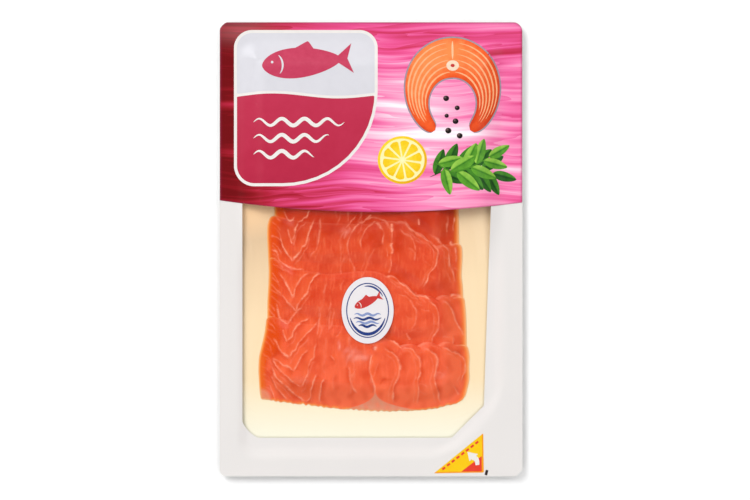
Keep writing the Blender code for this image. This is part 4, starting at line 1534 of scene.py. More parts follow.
    def settled(self, x: Array, y: Array, z: Array) -> Array:
        """Heights above the card, let down by a smooth step over the shoulder."""
        share = self.shoulder_foot + (1 - self.shoulder_foot) * smoothstep(self.shoulder_share(x, y))
        return self.base + (z - self.base) * share

    def under(self, x: Array, y: Array) -> Array:
        """The underside: flat on the card, then up an even slope over the slice above.

        Args:
            x, y: Where to read it.

        Returns:
            Its heights.
        """
        if self.is_first:
            return np.full_like(y, self.base)
        climb = np.clip(1 + (y - self.edge_y(x)) / self.overlap, 0, 1)
        droop = self.gap * (1 - smoothstep((self.edge_y(x) - y) / self.feather))
        return self.base + (self.thickness - self.edge_thickness) * climb - droop

    def top(self, u: Array, v: Array, x: Array, y: Array, marbling: Marbling) -> Array:
        """The upper face: the bed of the next slice, a hollow past its edge, then the flakes.

        Args:
            u, v, x, y: Shares across and along, and their places.
            marbling: The fat lines there.

        Returns:
            Its heights.
        """
        under = self.under(x, y)
        full = self.base + self.thickness
        top = np.full_like(y, full)
        seen = np.ones_like(y)
        if not self.is_last:
            past = y - self.next_y(x)
            climb = np.clip(1 + past / self.overlap, 0, 1)
            bed = self.base + (self.thickness - self.edge_thickness) * climb - self.gap
            out = smoothstep((past - self.hollow[0]) / (self.hollow[1] - self.hollow[0]))
            top = bed + (full - bed) * out
            seen = smoothstep(past / self.hollow[1])
        relief = 0.018 * marbling.glow - 0.022 * marbling.deep - 0.06 * marbling.furrow
        relief = relief + 0.06 * ripple(x, y, 9.0, 21) + 0.015 * ripple(x, y, 3.0, 22)
        top = top + (self.flake_rise / 2 + relief) * seen
        from_edge = np.clip((1 - v) * self.length / self.feather, 0, 1)
        feather = self.feather_foot + (1 - self.feather_foot) * from_edge * (2 - from_edge)
        top = under + (top - under) * feather
        side = np.minimum(u, 1 - u) * self.width
        if self.is_last:
            side = np.minimum(side, v * self.length)
        side = np.clip(side / self.side_round, 0, 1)
        share = self.side_foot + (1 - self.side_foot) * np.sqrt(1 - (1 - side) ** 2)
        return under + (top - under) * share

    def side_tones(self, u: Array, v: Array, x: Array, y: Array) -> tuple[Array, Array, Array]:
        """The tones that follow the slice's outline.

        The strip is exp(-(d / w)^6) down the left side, with its width w in millimetres.

        Args:
            u, v, x, y: Shares across and along, and their places.

        Returns:
            The dark strip, then the amber edge that fades over 1 to 3 mm and the pale rim on it,
            which are painted light: light through the thin flesh over the gold card.
        """
        from_left, from_right = u * self.width, (1 - u) * self.width
        strip_width = 5.9 + 3.4 * bell(y + 49.0, 8.0) - 2.2 * smoothstep((-54.0 - y) / 7.0)
        strip = np.maximum(np.exp(-((from_left / strip_width) ** 6)), 0.4 * np.exp(-from_right / 2.2))
        # The edge and the rim are painted light: light through the thin flesh, which also lifts the shade
        # on the slice's sides.
        lit = 1 - 0.55 * bell((1 - v) * self.length, 5.0)
        edge = np.maximum(0.75 * lit * bell(from_left, 1.3), 0.95 * bell(from_right, 2.0))
        low_left = 0.25 * smoothstep((-50.0 - y) / 10.0) * np.exp(-((from_left / 3.2) ** 4))
        edge = np.maximum(edge, low_left)
        rim = lit * bell(np.minimum(from_left, from_right), 0.6)
        if self.is_last:
            from_end = v * self.length
            uneven = np.clip(0.7 + 0.4 * ripple(x, y, 4.0, 41), 0, 1)
            edge = np.maximum(edge, 0.85 * bell(from_end, 1.1) * uneven)
            rim = np.maximum(rim, bell(from_end, 0.5) * uneven)
        return strip, edge, 0.75 * rim

    def tones(self, u: Array, v: Array, x: Array, y: Array, marbling: Marbling) -> dict[str, Array]:
        """The flesh's tones.

        It is paler towards the lower end, with painted light on the right and lower shoulder that
        faces away from the main lamp, and painted shade near the label. Denser muscle lies in
        blotches and in spots, and painted shade lies just past the edge of the slice that lies on it.

        Args:
            u, v, x, y: Shares across and along, and their places.
            marbling: The fat lines there.

        Returns:
            The tones' strengths from 0 to 1, by the names that the finish reads.
        """
        strip, edge, rim = self.side_tones(u, v, x, y)
        # A pale line along the upper edge, strongest at the flakes' rims: fat, with painted light that
        # lifts the shade on the edge's step.
        rim_line = 0.22 * bell((1 - v) * self.length - 0.4, 0.5)
        rim_line = rim_line * (0.25 + 0.75 * smoothstep((u - 0.6) / 0.1))
        # Painted light along the right side: a pale glow of light through the thin flesh, laid in as fat.
        right_side_glow = 0.5 * bell((1 - u) * self.width, 1.1)
        # Painted light on the right and lower shoulder, which faces away from the main lamp.
        over = self.shoulder_share(x, y)
        slope = 4 * over * (1 - over) * smoothstep((x - y - 40.0) / 40.0)
        pale = 0.55 * smoothstep((-y - 5.0) / 75.0) + 0.18 * ripple(x, y, 16.0, 42) + 0.5 * slope
        blotches = 0.24 + 0.3 * smoothstep((y + 14.0) / 22.0)
        # Painted shade beside the fat lines and in the folds, then blotches of denser muscle.
        deep = 1.2 * marbling.deep + marbling.furrow + 1.15 * blotches * ripple(x, y, 7.0, 43)
        # Painted shade just past the edge of the slice that lies on this one.
        if not self.is_last:
            past_edge = np.maximum(y - self.next_y(x), 0)
            deep = deep + 0.4 * np.exp(-past_edge / 3.5) * smoothstep((u - 0.2) / 0.4)
        dense = self.spots(x, y, DENSE_SPOTS) * np.clip(0.85 + 0.4 * ripple(x, y, 3.4, 46), 0, 1.2)
        # Painted glare of the film, laid in as the sheen tint.
        wet = self.spots(x, y, FILM_GLARE_SPOTS) * np.clip(0.75 + 0.5 * ripple(x, y, 2.6, 45), 0, 1)
        return {
            "pale": np.clip(pale, 0, 1),
            "deep": np.clip(deep + dense, 0, 1),
            "glow": 0.68 * marbling.glow,
            "shade": np.clip(0.85 * smoothstep((y + 4.0) / 29.0) + 0.5 * dense, 0, 1),
            "strip": strip,
            "edge": edge,
            "fat": np.clip(np.maximum(marbling.fat, rim_line) + right_side_glow, 0, 1),
            "membrane": self.membrane(x, y),
            "rim": rim,
            "sheen": np.clip(wet, 0, 1),
        }

    @staticmethod
    def spots(x: Array, y: Array, table: tuple[tuple[float, ...], ...]) -> Array:
        """Soft spots, each its strength times exp(-d^2) at d of its own reaches.

        Args:
            x, y: Where to read them.
            table: The spots' centres, reaches and strengths.

        Returns:
            The sum of the spots.
        """
        total = np.zeros_like(x)
        for centre_x, centre_y, size_x, size_y, strength in table:
            away = np.hypot((x - centre_x) / size_x, (y - centre_y) / size_y)
            total = total + strength * bell(away, 1.0)
        return total

    def membrane(self, x: Array, y: Array) -> Array:
        """The greyish skin at the last slice's end: a wedge, a hem and one corner.

        The wedge widens down from y = -75, the hem lies along the end, and the corner is the
        lower left one.

        Args:
            x, y: Where to read it.

        Returns:
            Its strengths.
        """
        if not self.is_last:
            return np.zeros_like(x)
        below = np.maximum(-75.0 - y, 0)
        left, right = 2.2 - 0.35 * below - 0.014 * below**3, 2.2 + 0.35 * below + 0.018 * below**3
        wedge = smoothstep((x - left) / 0.8 + 0.3) * smoothstep((right - x) / 1.0 + 0.3)
        wedge = wedge * smoothstep(below / 1.2)
        hem_depth = 2.0 * np.clip((27.0 - x) / 9.0, 0, 1) * smoothstep((x + 12.0) / 8.0)
        hem = smoothstep((hem_depth - (y - self.low_y(x))) / 0.9)
        corner = smoothstep((5.6 - np.hypot((x + 57.8) * 0.9, (y + 79.4) * 0.8)) / 2.6)
        found = np.maximum(np.maximum(0.85 * wedge, 0.6 * hem), 0.72 * corner)
        return np.clip(found * (0.85 + 0.2 * ripple(x, y, 3.2, 44)), 0, 1)

    def build(self) -> None:
        """The slice as a closed body between its two faces."""
        u, v = self.grid()
        x, y = self.place(u, v)
        marbling = Marbling.of(x, y) if self.index >= self.seen_from else Marbling.none(x)
        faces = (self.under(x, y), self.top(u, v, x, y, marbling))
        low, high = (self.settled(x, y, face) for face in faces)
        parts = MeshParts().slab(Patch(x, y), low, high, **self.tones(u, v, x, y, marbling))
        name = f"salmon_slice_{self.index + 1}"
        place_piece(parts, f"cured_{name}", CuredSalmonFlesh(), "salmon_flesh", name, sharp=50.0)


# The film and the print -------------------------------------------------------------------------


@dataclass
class LiddingFilm:
    """The clear film, sealed to the flange and draped over the salmon, with faint wrinkles."""

    step: float = 1.05
    first_inset: float = 0.5
    below: float = 0.08
    above: float = 0.28
    wrinkle: float = 0.05
    wrinkle_length: float = 14.0
    wrinkle_inset: float = 4.0
    wrinkle_top: float = 20.0
    wrinkle_fade: float = 6.0

    def build(self) -> None:
        """The film's height over even columns of the pack's outline."""
        outline = PACK.outline()
        reach = PACK.width / 2 - self.first_inset
        x = np.union1d(np.arange(-reach, reach, self.step), outline[:, 0])
        x = x[spaced(x, 0.04)]
        patch = strip_patch(x, edge_over(outline, x, False), edge_over(outline, x, True), self.step)
        height = PACK.film(patch.x, patch.y)
        free = smoothstep((PACK.inside(patch.x, patch.y) - self.wrinkle_inset) / self.wrinkle_fade)
        free = free * smoothstep((self.wrinkle_top - patch.y) / self.wrinkle_fade)
        height = height + self.wrinkle * free * ripple(patch.x, patch.y, self.wrinkle_length, 31)
        parts = MeshParts().slab(patch, height - self.below, height + self.above)
        place_piece(parts, "draped_clear_film", ClearLiddingFilm(), "clear_film", "clear_film")


@dataclass
class PrintedFrame:
    """The white frame printed on the film, with the window left clear."""

    left: float = -68.0
    bottom: float = -99.7
    top: float = 99.2
    right_at_centre: float = 62.5
    right_lean: float = 0.034
    peel_cut: float = 17.0
    corner_cut: float = 9.0
    lift: Pair = (0.30, 0.38)
    step: float = 1.0

    def build(self) -> None:
        """The area between the window and the pack's edge, laid on the film.

        The window's right side leans and its peel corner is a plain chamfer.
        """
        peel_y = self.bottom + self.peel_cut
        right_top = self.right_at_centre + self.right_lean * self.top
        right_peel = self.right_at_centre + self.right_lean * peel_y
        corners = ((right_peel, peel_y), (right_top, self.top), (self.left, self.top),
                   (self.left, self.bottom), (right_peel - self.peel_cut, self.bottom))
        sharp, wide = (0.6, PACK.square), (self.corner_cut, PACK.square)
        window = cut_outline(corners, (sharp, wide, wide, (self.corner_cut, 0.3), sharp), 10)
        patch = ring_patch(window, PACK.outline(), (-2.0, 0.0), self.step)
        height = PACK.film(patch.x, patch.y)
        parts = MeshParts().slab(patch, height + self.lift[0], height + self.lift[1])
        place_piece(parts, "printed_white_frame", PRINTED_FILM_WHITE, "white_print", "white_frame")


@dataclass
class PrintLayers:
    """Shapes of ink that lie in thin layers over the film's form, one mesh for each ink.

    Attributes:
        name: The start of each mesh's name.
        slot: The finish slot, which is only logged with each ink.
        lift: How far the first layer lies above the film's underside.
        ink_thickness: How thick the ink is.
        pitch: How far apart the layers lie.
    """

    name: str
    slot: str
    lift: float
    ink_thickness: float = 0.012
    pitch: float = 0.021
    inks: dict[Ink, MeshParts] = field(default_factory=dict)

    def lay(self, ink: Ink, layer: int, patch: Patch, tone: Array | float = 0.5) -> None:
        """Lays one shape of ink.

        Args:
            ink: Its ink.
            layer: Its layer. Shapes that overlap lie in different layers.
            patch: Its shape.
            tone: How light it is over the patch's grid, from 0 to 1.
        """
        low = PACK.film(patch.x, patch.y) + self.lift + layer * self.pitch
        tones = np.broadcast_to(tone, patch.x.shape).astype(float)
        self.inks.setdefault(ink, MeshParts()).slab(patch, low, low + self.ink_thickness, tone=tones)

    def finish(self) -> None:
        """Makes one piece of each ink."""
        for ink, parts in self.inks.items():
            place_piece(parts, f"{self.name}_{ink.name.lower()}_ink", ink.value, self.slot)


def turned(points: Array | Points, centre: Pair, degrees: float) -> Array:
    """Points turned anticlockwise about the origin, then moved to a centre."""
    cos, sin = math.cos(math.radians(degrees)), math.sin(math.radians(degrees))
    return np.asarray(points, float) @ np.array([[cos, sin], [-sin, cos]]) + np.asarray(centre)


def oval(half_width: float, half_length: float, steps: int = 48) -> Array:
    """An ellipse round the origin."""
    return circle(np.linspace(0, 2 * math.pi, steps, endpoint=False)) * (half_width, half_length)


def oval_patch(centre: Pair, half_width: float, half_length: float, steps: int = 48,
               step: float = 1.0) -> Patch:
    """A filled ellipse round a centre."""
    return disc_patch(oval(half_width, half_length, steps) + np.asarray(centre), step)


def signed_power(value: Array, power: float) -> Array:
    """Values with their size raised to a power and their sign kept."""
    return np.sign(value) * np.abs(value) ** power


def wave_path(start: Pair, length: float, height: float, waves: float) -> Array:
    """A level sine wave from a start point."""
    t = np.linspace(0, 1, 80)
    return np.column_stack([start[0] + t * length, start[1] + height * np.sin(2 * math.pi * waves * t)])


def clipped(outline: Array, curve: Callable[[Array], Array], upper: bool) -> Array:
    """The part of an anticlockwise outline above or below a curve, closed along the curve.

    Args:
        outline: The outline, which crosses the curve twice.
        curve: The curve's y over x.
        upper: Whether the upper part is kept.

    Returns:
        The part's outline, anticlockwise.
    """
    points = refined(outline, 0.5)
    kept = (points[:, 1] > curve(points[:, 0])) == upper
    start = np.flatnonzero(kept & ~np.roll(kept, 1))[0]
    run = np.roll(points, -start, axis=0)[: kept.sum()]
    x = np.linspace(run[-1, 0], run[0, 0], 90)[1:-1]
    return np.concatenate([run, np.column_stack([x, curve(x)])])


@dataclass(frozen=True)
class FishSign:
    """A plain fish: a body fuller towards its head, a notched tail, a fin, a gill line and an eye."""

    centre: Pair
    length: float
    degrees: float
    depth: float = 0.19

    def lay(self, layers: PrintLayers, layer: int, ink: Ink, detail: Ink) -> None:
        """Lays the fish.

        Args:
            layers: The print that it belongs to.
            layer: The lowest of the two layers that it takes.
            ink: The body's ink.
            detail: The ink of the gill line and the eye.
        """
        angle = np.linspace(0, 2 * math.pi, 72, endpoint=False)
        deep = self.depth * signed_power(np.sin(angle), 1.2)
        body = np.column_stack([np.cos(angle) / 2, deep * (1 - 0.22 * np.cos(angle))])
        layers.lay(ink, layer, disc_patch(self.at(body)))
        tail = ((0.40, 0.0), (0.64, -0.19), (0.575, 0.0), (0.64, 0.19))
        layers.lay(ink, layer + 1, disc_patch(self.at(tail), centre=tuple(self.at(((0.53, 0.0),))[0])))
        fin = cut_outline(((-0.16, 0.15), (0.20, 0.10), (0.10, 0.27)), ((0.02, 0.5),) * 3, 6)
        layers.lay(ink, layer + 1, disc_patch(self.at(fin), 0.5))
        swing = np.radians(np.linspace(-52, 52, 24))
        gill = np.column_stack([-0.36 + 0.12 * np.cos(swing), 0.15 * np.sin(swing)])
        layers.lay(detail, layer + 1, stroke_patch(self.at(gill), 0.011 * self.length))
        eye = oval(0.016, 0.016, 20) + (-0.37, 0.035)
        layers.lay(detail, layer + 1, disc_patch(self.at(eye), 0.5))

    def at(self, points: Array | Points) -> Array:
        """Points of a fish of unit length, put in its place."""
        return turned(self.length * np.asarray(points, float), self.centre, self.degrees)


@dataclass(frozen=True)
class Sprig:
    """A sprig of bay: a bowed stem with pointed leaves on alternate sides and one at its tip."""

    stem: Points
    leaf_length: float
    leaves: int
    ink: Ink

    def lay(self, layers: PrintLayers, layer: int) -> None:
        """Lays the leaves in turn over three layers, then the stem on top of them.

        Args:
            layers: The print that it belongs to.
            layer: The lowest of the four layers that it takes.
        """
        path = smooth_path(self.stem, 0.5)
        heading = np.degrees(np.arctan2(*np.gradient(path, axis=0).T[::-1]))
        for k, place in enumerate(np.linspace(0.08, 1.0, self.leaves)):
            i = round(place * (len(path) - 1))
            side = 0 if k == self.leaves - 1 else (-1) ** k
            size = self.leaf_length * (1.0 - 0.35 * abs(place - 0.45))
            patch, tone = self.leaf(path[i], size, float(heading[i]) + 46.0 * side)
            layers.lay(self.ink, layer + k % 3, patch, tone)
        layers.lay(self.ink, layer + 3, stroke_patch(path, 0.4), 0.25)

    @staticmethod
    def leaf(foot: Array, length: float, degrees: float) -> tuple[Patch, Array]:
        """A pointed leaf, dark along its rib and lighter on its upper half.

        Its outline is L (0.5 cos a, 0.2 sin(a)^1.3 (1 - 0.2 cos a)) round its middle.

        Args:
            foot: Where it grows from the stem.
            length: Its length L.
            degrees: Its heading.

        Returns:
            Its shape, and its tone over the shape's grid.
        """
        angle = np.linspace(-math.pi, math.pi, 60, endpoint=False)
        wide = 0.2 * signed_power(np.sin(angle), 1.3) * (1 - 0.2 * np.cos(angle))
        outline = length * np.column_stack([0.5 * np.cos(angle), wide])
        middle = turned(((0.52 * length, 0.0),), foot, degrees)[0]
        patch = disc_patch(turned(outline, middle, degrees), 0.6, tuple(middle))
        off_x, off_y = patch.x - middle[0], patch.y - middle[1]
        turn = math.radians(degrees)
        across = off_y * math.cos(turn) - off_x * math.sin(turn)
        upper = np.tanh(across / 0.5) * (1.0 if math.cos(turn) > 0 else -1.0)
        tone = 0.5 + 0.2 * upper + 0.5 * np.hypot(off_x, off_y) / length
        return patch, np.clip(tone - 0.45 * bell(across, 0.45), 0, 1)


@dataclass
class HeaderLabel:
    """The wide header label: a streaked ground, a sign panel and a plain food picture."""

    edge_y: float = 25.3
    sag: float = 5.7
    sag_centre_x: float = 4.0
    inset: float = 0.15
    lift: Pair = (0.55, 0.60)
    step: float = 0.9
    panel_corners: Points = ((3.5, 33.2), (3.5, 115.8), (-72.4, 115.8), (-72.4, 33.2))
    panel_cuts: Points = ((50.0, 0.71), (9.5, 0.71), (9.5, 0.71), (11.0, 0.71))
    outline_width: float = 1.6
    divider_y: float = 81.5
    divider_gap: float = 0.75
    steak_centre: Pair = (43.0, 80.5)
    steak_reach: Pair = (18.5, 20.5)
    steak_swing: float = 150.0
    lemon_centre: Pair = (16.5, 47.0)
    lemon_radius: float = 13.0
    sprigs: tuple[tuple[int, Sprig], ...] = (
        (0, Sprig(((31, 38), (42, 42.5), (54, 42.5), (64, 40)), 16.0, 11, Ink.LEAF)),
        (4, Sprig(((33, 46), (43, 41), (54, 44), (62, 48.5)), 15.5, 9, Ink.SPRING)),
    )
    peppercorns: int = 6

    def __post_init__(self) -> None:
        """Starts the label's print."""
        self.layers = PrintLayers("header", "header_print", 0.61)

    def build(self) -> None:
        """The label's ground, then its print."""
        self.build_ground()
        self.lay_panel()
        self.lay_steak()
        self.lay_lemon()
        for layer, sprig in self.sprigs:
            sprig.lay(self.layers, layer)
        self.lay_pepper()
        self.layers.finish()

    def build_ground(self) -> None:
        """The label between its lower edge and the pack's upper corners.

        The edge is a shallow bow: y = e - s (1 - ((x - c) / 80)^2).
        """
        outline = PACK.outline(self.inset)
        reach = PACK.width / 2 - self.inset
        x = np.union1d(np.linspace(-reach, reach, round(2 * reach / self.step) + 1),
                       outline[outline[:, 1] > 0, 0])
        x = x[spaced(x, 0.04)]
        low = self.edge_y - self.sag * (1 - ((x - self.sag_centre_x) / (PACK.width / 2)) ** 2)
        high = edge_over(outline, x, True)
        patch = strip_patch(x, low, high, self.step)
        height = PACK.film(patch.x, patch.y)
        from_edge = np.minimum(np.minimum(high - patch.y, reach - np.abs(patch.x)), (patch.y - low) * 1.4)
        # Painted shade along the label's edges, and a painted glare of the film near its upper left corner.
        border = 0.6 * bell(from_edge, 0.7)
        bloom = 0.13 * np.exp(-(((patch.x + 68.0) / 16.0) ** 2) - ((patch.y - 115.0) / 6.0) ** 2)
        low_face, high_face = (height + lift for lift in self.lift)
        parts = MeshParts().slab(patch, low_face, high_face, border=border, bloom=bloom)
        place_piece(parts, "streaked_header_label", StreakedGravurePrint(), "header_print", "header_label")

    def panel(self, inset: float) -> Array:
        """The sign panel's outline, moved in by that much."""
        corners = inset_corners(self.panel_corners, inset)
        return cut_outline(corners, tuple((cut - inset, r) for cut, r in self.panel_cuts), 12)

    def divider(self, shift: float) -> Callable[[Array], Array]:
        """The line between the panel's fields, moved up by a shift: y = d + 1.3 sin(x / 11) + shift."""
        return lambda x: self.divider_y + 1.3 * np.sin(x / 11.0) + shift

    def lay_panel(self) -> None:
        """A white panel with a grey upper field and a crimson lower field under a wavy divider."""
        lay = self.layers.lay
        lay(Ink.WHITE, 0, disc_patch(self.panel(0.0)))
        inner, gap = self.panel(self.outline_width), self.divider_gap
        lay(Ink.GREY, 3, disc_patch(clipped(inner, self.divider(gap), True)))
        crimson = disc_patch(clipped(inner, self.divider(-gap), False))
        lay(Ink.CRIMSON, 3, crimson, 0.35 + (crimson.y - 33.0) / 80.0)
        FishSign((-36.5, 98.5), 42.0, 5.0).lay(self.layers, 6, Ink.ROSE, Ink.GREY)
        for i, y in enumerate((67.0, 58.5, 50.0)):
            path = wave_path((-62.0, y), 48.0 - 8.0 * i, 1.8, 4.0 - 2 * i / 3)
            lay(Ink.WHITE, 6, stroke_patch(path, 1.0))

    def steak_line(self, share: float) -> tuple[Array, Array]:
        """A line along the steak.

        The steak's middle is an arch, centre + (a sin s, b cos s) for s from one flap over the back
        to the other. Its half width is 3.6 + 7.0 cos(s / 1.7)^2, widest over the back.

        Args:
            share: Where it runs across the half width, from -1 inside to 1 outside.

        Returns:
            The line and the half width at its points.
        """
        swing = np.radians(np.linspace(-self.steak_swing, self.steak_swing, 110))
        wide, tall = self.steak_reach
        middle = np.column_stack([wide * np.sin(swing), tall * np.cos(swing)])
        outward = unit(np.column_stack([tall * np.sin(swing), wide * np.cos(swing)]))
        width = 3.6 + 7.0 * np.cos(swing / 1.7) ** 2
        return middle + np.asarray(self.steak_centre) + outward * (share * width)[:, None], width

    def lay_steak(self) -> None:
        """A salmon steak: silver skin, flesh lit from the upper left, fat lines and the backbone."""
        lay = self.layers.lay
        path, width = self.steak_line(0.0)
        ends = np.sqrt(np.clip(1 - np.abs(np.linspace(-1, 1, len(width))) ** 20, 0.003, 1))
        lay(Ink.SKIN, 0, ribbon_patch(path, (width + 0.8) * ends), 0.6)
        flesh = ribbon_patch(path, width * ends)
        share = np.linspace(-1, 1, flesh.x.shape[0])[:, None]
        lean = (flesh.y - self.steak_centre[1]) / 60 - (flesh.x - self.steak_centre[0]) / 90
        lay(Ink.SALMON, 3, flesh, np.clip(0.62 - 0.45 * np.abs(share) ** 2.5 + lean, 0, 1))
        for share in (-0.72, -0.42, -0.12, 0.18, 0.48, 0.76):
            line, _ = self.steak_line(share)
            trim = 6 + int(10 * abs(share))
            for half in (line[trim:53], line[57:-trim]):
                lay(Ink.BLUSH, 5, stroke_patch(half, 0.4), 0.55)
        x, top = self.steak_centre[0], self.steak_centre[1] + self.steak_reach[1]
        lay(Ink.BLUSH, 6, stroke_patch(np.linspace((x, top - 1.0), (x, top + 9.0), 16), 0.5), 0.8)
        lay(Ink.BONE, 6, oval_patch((x, top - 4.2), 3.3, 2.8, step=0.6), 0.55)
        lay(Ink.BRICK, 7, oval_patch((x, top - 4.2), 1.1, 0.9, 24, 0.4), 0.2)

    def lay_lemon(self) -> None:
        """A whole lemon wheel: rind, pith, ten wedges of pulp and a pale core."""
        lay, centre, radius = self.layers.lay, self.lemon_centre, self.lemon_radius
        rind = oval_patch(centre, radius, radius * 0.97, 72)
        lay(Ink.LEMON, 0, rind, 0.35 + 0.5 * (rind.y - centre[1] - rind.x + centre[0]) / radius / 2)
        lay(Ink.PITH, 2, oval_patch(centre, radius * 0.9, radius * 0.87, 72), 0.6)
        wedge = radius * np.array(((0.10, 0.0), (0.74, -0.195), (0.81, 0.0), (0.74, 0.195)))
        for k in range(10):
            shape = cut_outline(turned(wedge, centre, 36 * k + 10), ((0.8, 0.7),) * 4, 4)
            patch = disc_patch(shape, 0.7)
            away = np.hypot(patch.x - centre[0], patch.y - centre[1]) / radius
            lay(Ink.LEMON, 4, patch, 0.95 - 0.7 * away)
        lay(Ink.PITH, 6, oval_patch(centre, 1.0, 1.0, 20, 0.5), 0.8)

    def lay_pepper(self) -> None:
        """Peppercorns up the steak's arch, lightest on their upper left, from one seeded draw."""
        draw = np.random.default_rng(7)
        for k in range(self.peppercorns):
            x = self.steak_centre[0] + (-1) ** k * draw.uniform(1.5, 5.0)
            y = 59.0 + 3.9 * k + draw.uniform(-1.0, 1.0)
            radius = draw.uniform(0.9, 1.7)
            corn = oval_patch((x, y), radius, radius * 0.94, 24, 0.5)
            away = np.hypot(corn.x - x + 0.35 * radius, corn.y - y - 0.35 * radius)
            self.layers.lay(Ink.PEPPER, 6, corn, np.clip(1 - away / radius, 0, 1))


@dataclass
class OvalSticker:
    """The white oval sticker: a navy ring round a leaping red fish over navy waves."""

    centre: Pair = (-1.8, -32.2)
    half_width: float = 13.7
    half_length: float = 17.5
    lift: Pair = (0.30, 0.37)
    ring: Pair = (11.0, 14.2)
    waves: tuple[tuple[Ink, float, float], ...] = (
        (Ink.MIST, -2.2, 7.0), (Ink.NAVY, -4.4, 7.4), (Ink.MIST, -6.4, 6.2), (Ink.NAVY, -8.2, 4.8),
    )

    def build(self) -> None:
        """The paper, then its print."""
        patch = oval_patch(self.centre, self.half_width, self.half_length, 96)
        height = PACK.film(patch.x, patch.y)
        parts = MeshParts().slab(patch, height + self.lift[0], height + self.lift[1])
        place_piece(parts, "oval_paper_sticker", STICKER_PAPER, "sticker_paper", "oval_sticker")
        layers = PrintLayers("sticker", "sticker_paper", 0.385)
        layers.lay(Ink.NAVY, 0, ribbon_patch(self.arc(1.0, 0, 360)[:-1], 0.28, loop=True))
        for start, end, scale, width in ((198, 342, 0.88, 0.8), (35, 100, 0.9, 0.45)):
            layers.lay(Ink.NAVY, 0, stroke_patch(self.arc(scale, start, end), width, 0.4))
        middle = np.asarray(self.centre)
        FishSign(tuple(middle + (-0.6, 4.4)), 13.6, 24.0, 0.17).lay(layers, 0, Ink.BRICK, Ink.WHITE)
        for i, (ink, y, half) in enumerate(self.waves):
            path = wave_path((middle[0] - half, middle[1] + y), 2 * half, 0.5, 2.5 - 0.3 * i)
            layers.lay(ink, 0, stroke_patch(path, 0.62))
        layers.finish()

    def arc(self, scale: float, start: float, end: float) -> Array:
        """A stretch of the ring at a scale, between two angles in degrees."""
        return circle(np.radians(np.linspace(start, end, 121))) * self.ring * scale + self.centre


@dataclass
class CornerFlash:
    """The flash at the peel corner: a yellow triangle with a red corner and a white arrow."""

    corners: Points = ((59.6, -118.0), (59.3, -97.2), (33.2, -118.4))
    red_corners: Points = ((58.6, -117.4), (58.5, -109.2), (47.6, -117.5))
    dashes: int = 8

    def build(self) -> None:
        """The flash's shapes, laid on the white frame."""
        layers = PrintLayers("flash", "white_print", 0.395)
        inner = inset_corners(self.corners, 0.45) + (-0.35, 0.3)
        triangles = ((Ink.AMBER, self.corners, 0.6, 4), (Ink.SUN, inner, 0.5, 4),
                     (Ink.SCARLET, self.red_corners, 0.3, 3))
        for layer, (ink, corners, cut, steps) in enumerate(triangles):
            layers.lay(ink, layer, disc_patch(cut_outline(corners, ((cut, 0.7),) * 3, steps)))
        shaft = smooth_path(((53.6, -109.6), (55.6, -111.0), (56.3, -114.0)), 0.4)
        layers.lay(Ink.WHITE, 3, ribbon_patch(shaft, np.linspace(1.5, 1.0, len(shaft)), 0.5))
        head = np.array(((50.9, -107.0), (52.0, -112.0), (56.6, -108.2)))
        layers.lay(Ink.WHITE, 4, disc_patch(head, 0.5))
        start, end = np.array((37.4, -116.6)), np.array((57.4, -101.0))
        for k in range(self.dashes):
            low, high = (start + (end - start) * (k + part) / self.dashes for part in (0.1, 0.72))
            layers.lay(Ink.SCARLET, 2, ribbon_patch(np.linspace(low, high, 6), 0.55, 0.5), 0.4)
        mark = ((-0.7, -1.4), (0.7, -1.4), (0.7, 1.4), (-0.7, 1.4))
        layers.lay(Ink.PEPPER, 0, disc_patch(turned(mark, (61.0, -118.0), -14), 0.5))
        layers.finish()


# The studio -------------------------------------------------------------------------------------


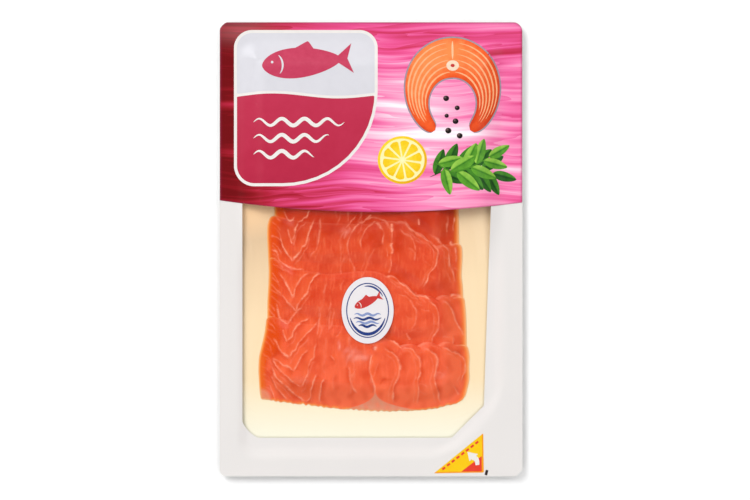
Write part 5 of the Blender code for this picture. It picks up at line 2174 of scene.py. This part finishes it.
@dataclass
class Studio:
    """A pale floor, soft light from the upper left and a camera that looks straight down."""

    view_width: float = 0.3964
    height: float = 1.5
    aim: Pair = (0.0021, -0.0004)
    sensor_mm: float = 36.0
    ambient: float = 0.26
    floor_reach: float = 4.0
    lights: tuple[tuple[tuple[float, float, float], float, float], ...] = (
        ((-1.75, 1.95, 2.6), 2.2, 96.0),
        ((1.5, 1.3, 2.9), 2.0, 27.0),
        ((-1.3, -1.6, 2.9), 2.0, 21.0),
        ((1.4, -1.5, 2.9), 2.0, 24.0),
    )

    def build(self) -> None:
        """The floor, the world, square softboxes that face the pack, and the camera."""
        scene = bpy.context.scene
        self.build_floor()
        scene.view_settings.view_transform = "Standard"
        world = bpy.data.worlds.new("soft_studio")
        world.use_nodes = True
        inputs = world.node_tree.nodes["Background"].inputs
        inputs["Strength"].default_value = self.ambient
        inputs["Color"].default_value = (1, 1, 1, 1)
        scene.world = world
        for i, (place, size, watts) in enumerate(self.lights):
            lamp = bpy.data.lights.new(f"softbox_{i + 1}", "AREA")
            lamp.size, lamp.energy = size, watts
            softbox = bpy.data.objects.new(lamp.name, lamp)
            softbox.location = place
            away = unit(np.array(place))
            softbox.rotation_euler = (math.acos(away[2]), 0.0, math.atan2(away[1], away[0]) + math.pi / 2)
            scene.collection.objects.link(softbox)
        lens = bpy.data.cameras.new("overhead_camera")
        lens.sensor_width = self.sensor_mm
        lens.lens = self.sensor_mm * self.height / self.view_width
        lens.clip_end = 10.0
        camera = bpy.data.objects.new("overhead_camera", lens)
        camera.location = (*self.aim, self.height + PACK.rim_top * MM)
        scene.collection.objects.link(camera)
        scene.camera = camera

    def build_floor(self) -> None:
        """A wide sheet of paper under the pack."""
        mesh = bpy.data.meshes.new("studio_floor")
        reach = self.floor_reach
        corners = [(-reach, -reach, 0), (reach, -reach, 0), (reach, reach, 0), (-reach, reach, 0)]
        mesh.from_pydata(corners, [], [(0, 1, 2, 3)])
        mesh.materials.append(StudioPaper().material())
        floor = bpy.data.objects.new("studio_floor", mesh)
        bpy.context.scene.collection.objects.link(floor)


def main() -> None:
    """Builds the pack's looks from the tray up, then the studio."""
    logging.basicConfig(level=logging.INFO, format="%(name)s: %(message)s")
    FormedTray().build()
    GoldCard().build()
    for index in range(len(SLICE_LINES)):
        SalmonSlice(index).build()
    LiddingFilm().build()
    PrintedFrame().build()
    HeaderLabel().build()
    OvalSticker().build()
    CornerFlash().build()
    Studio().build()


if __name__ == "__main__":
    main()
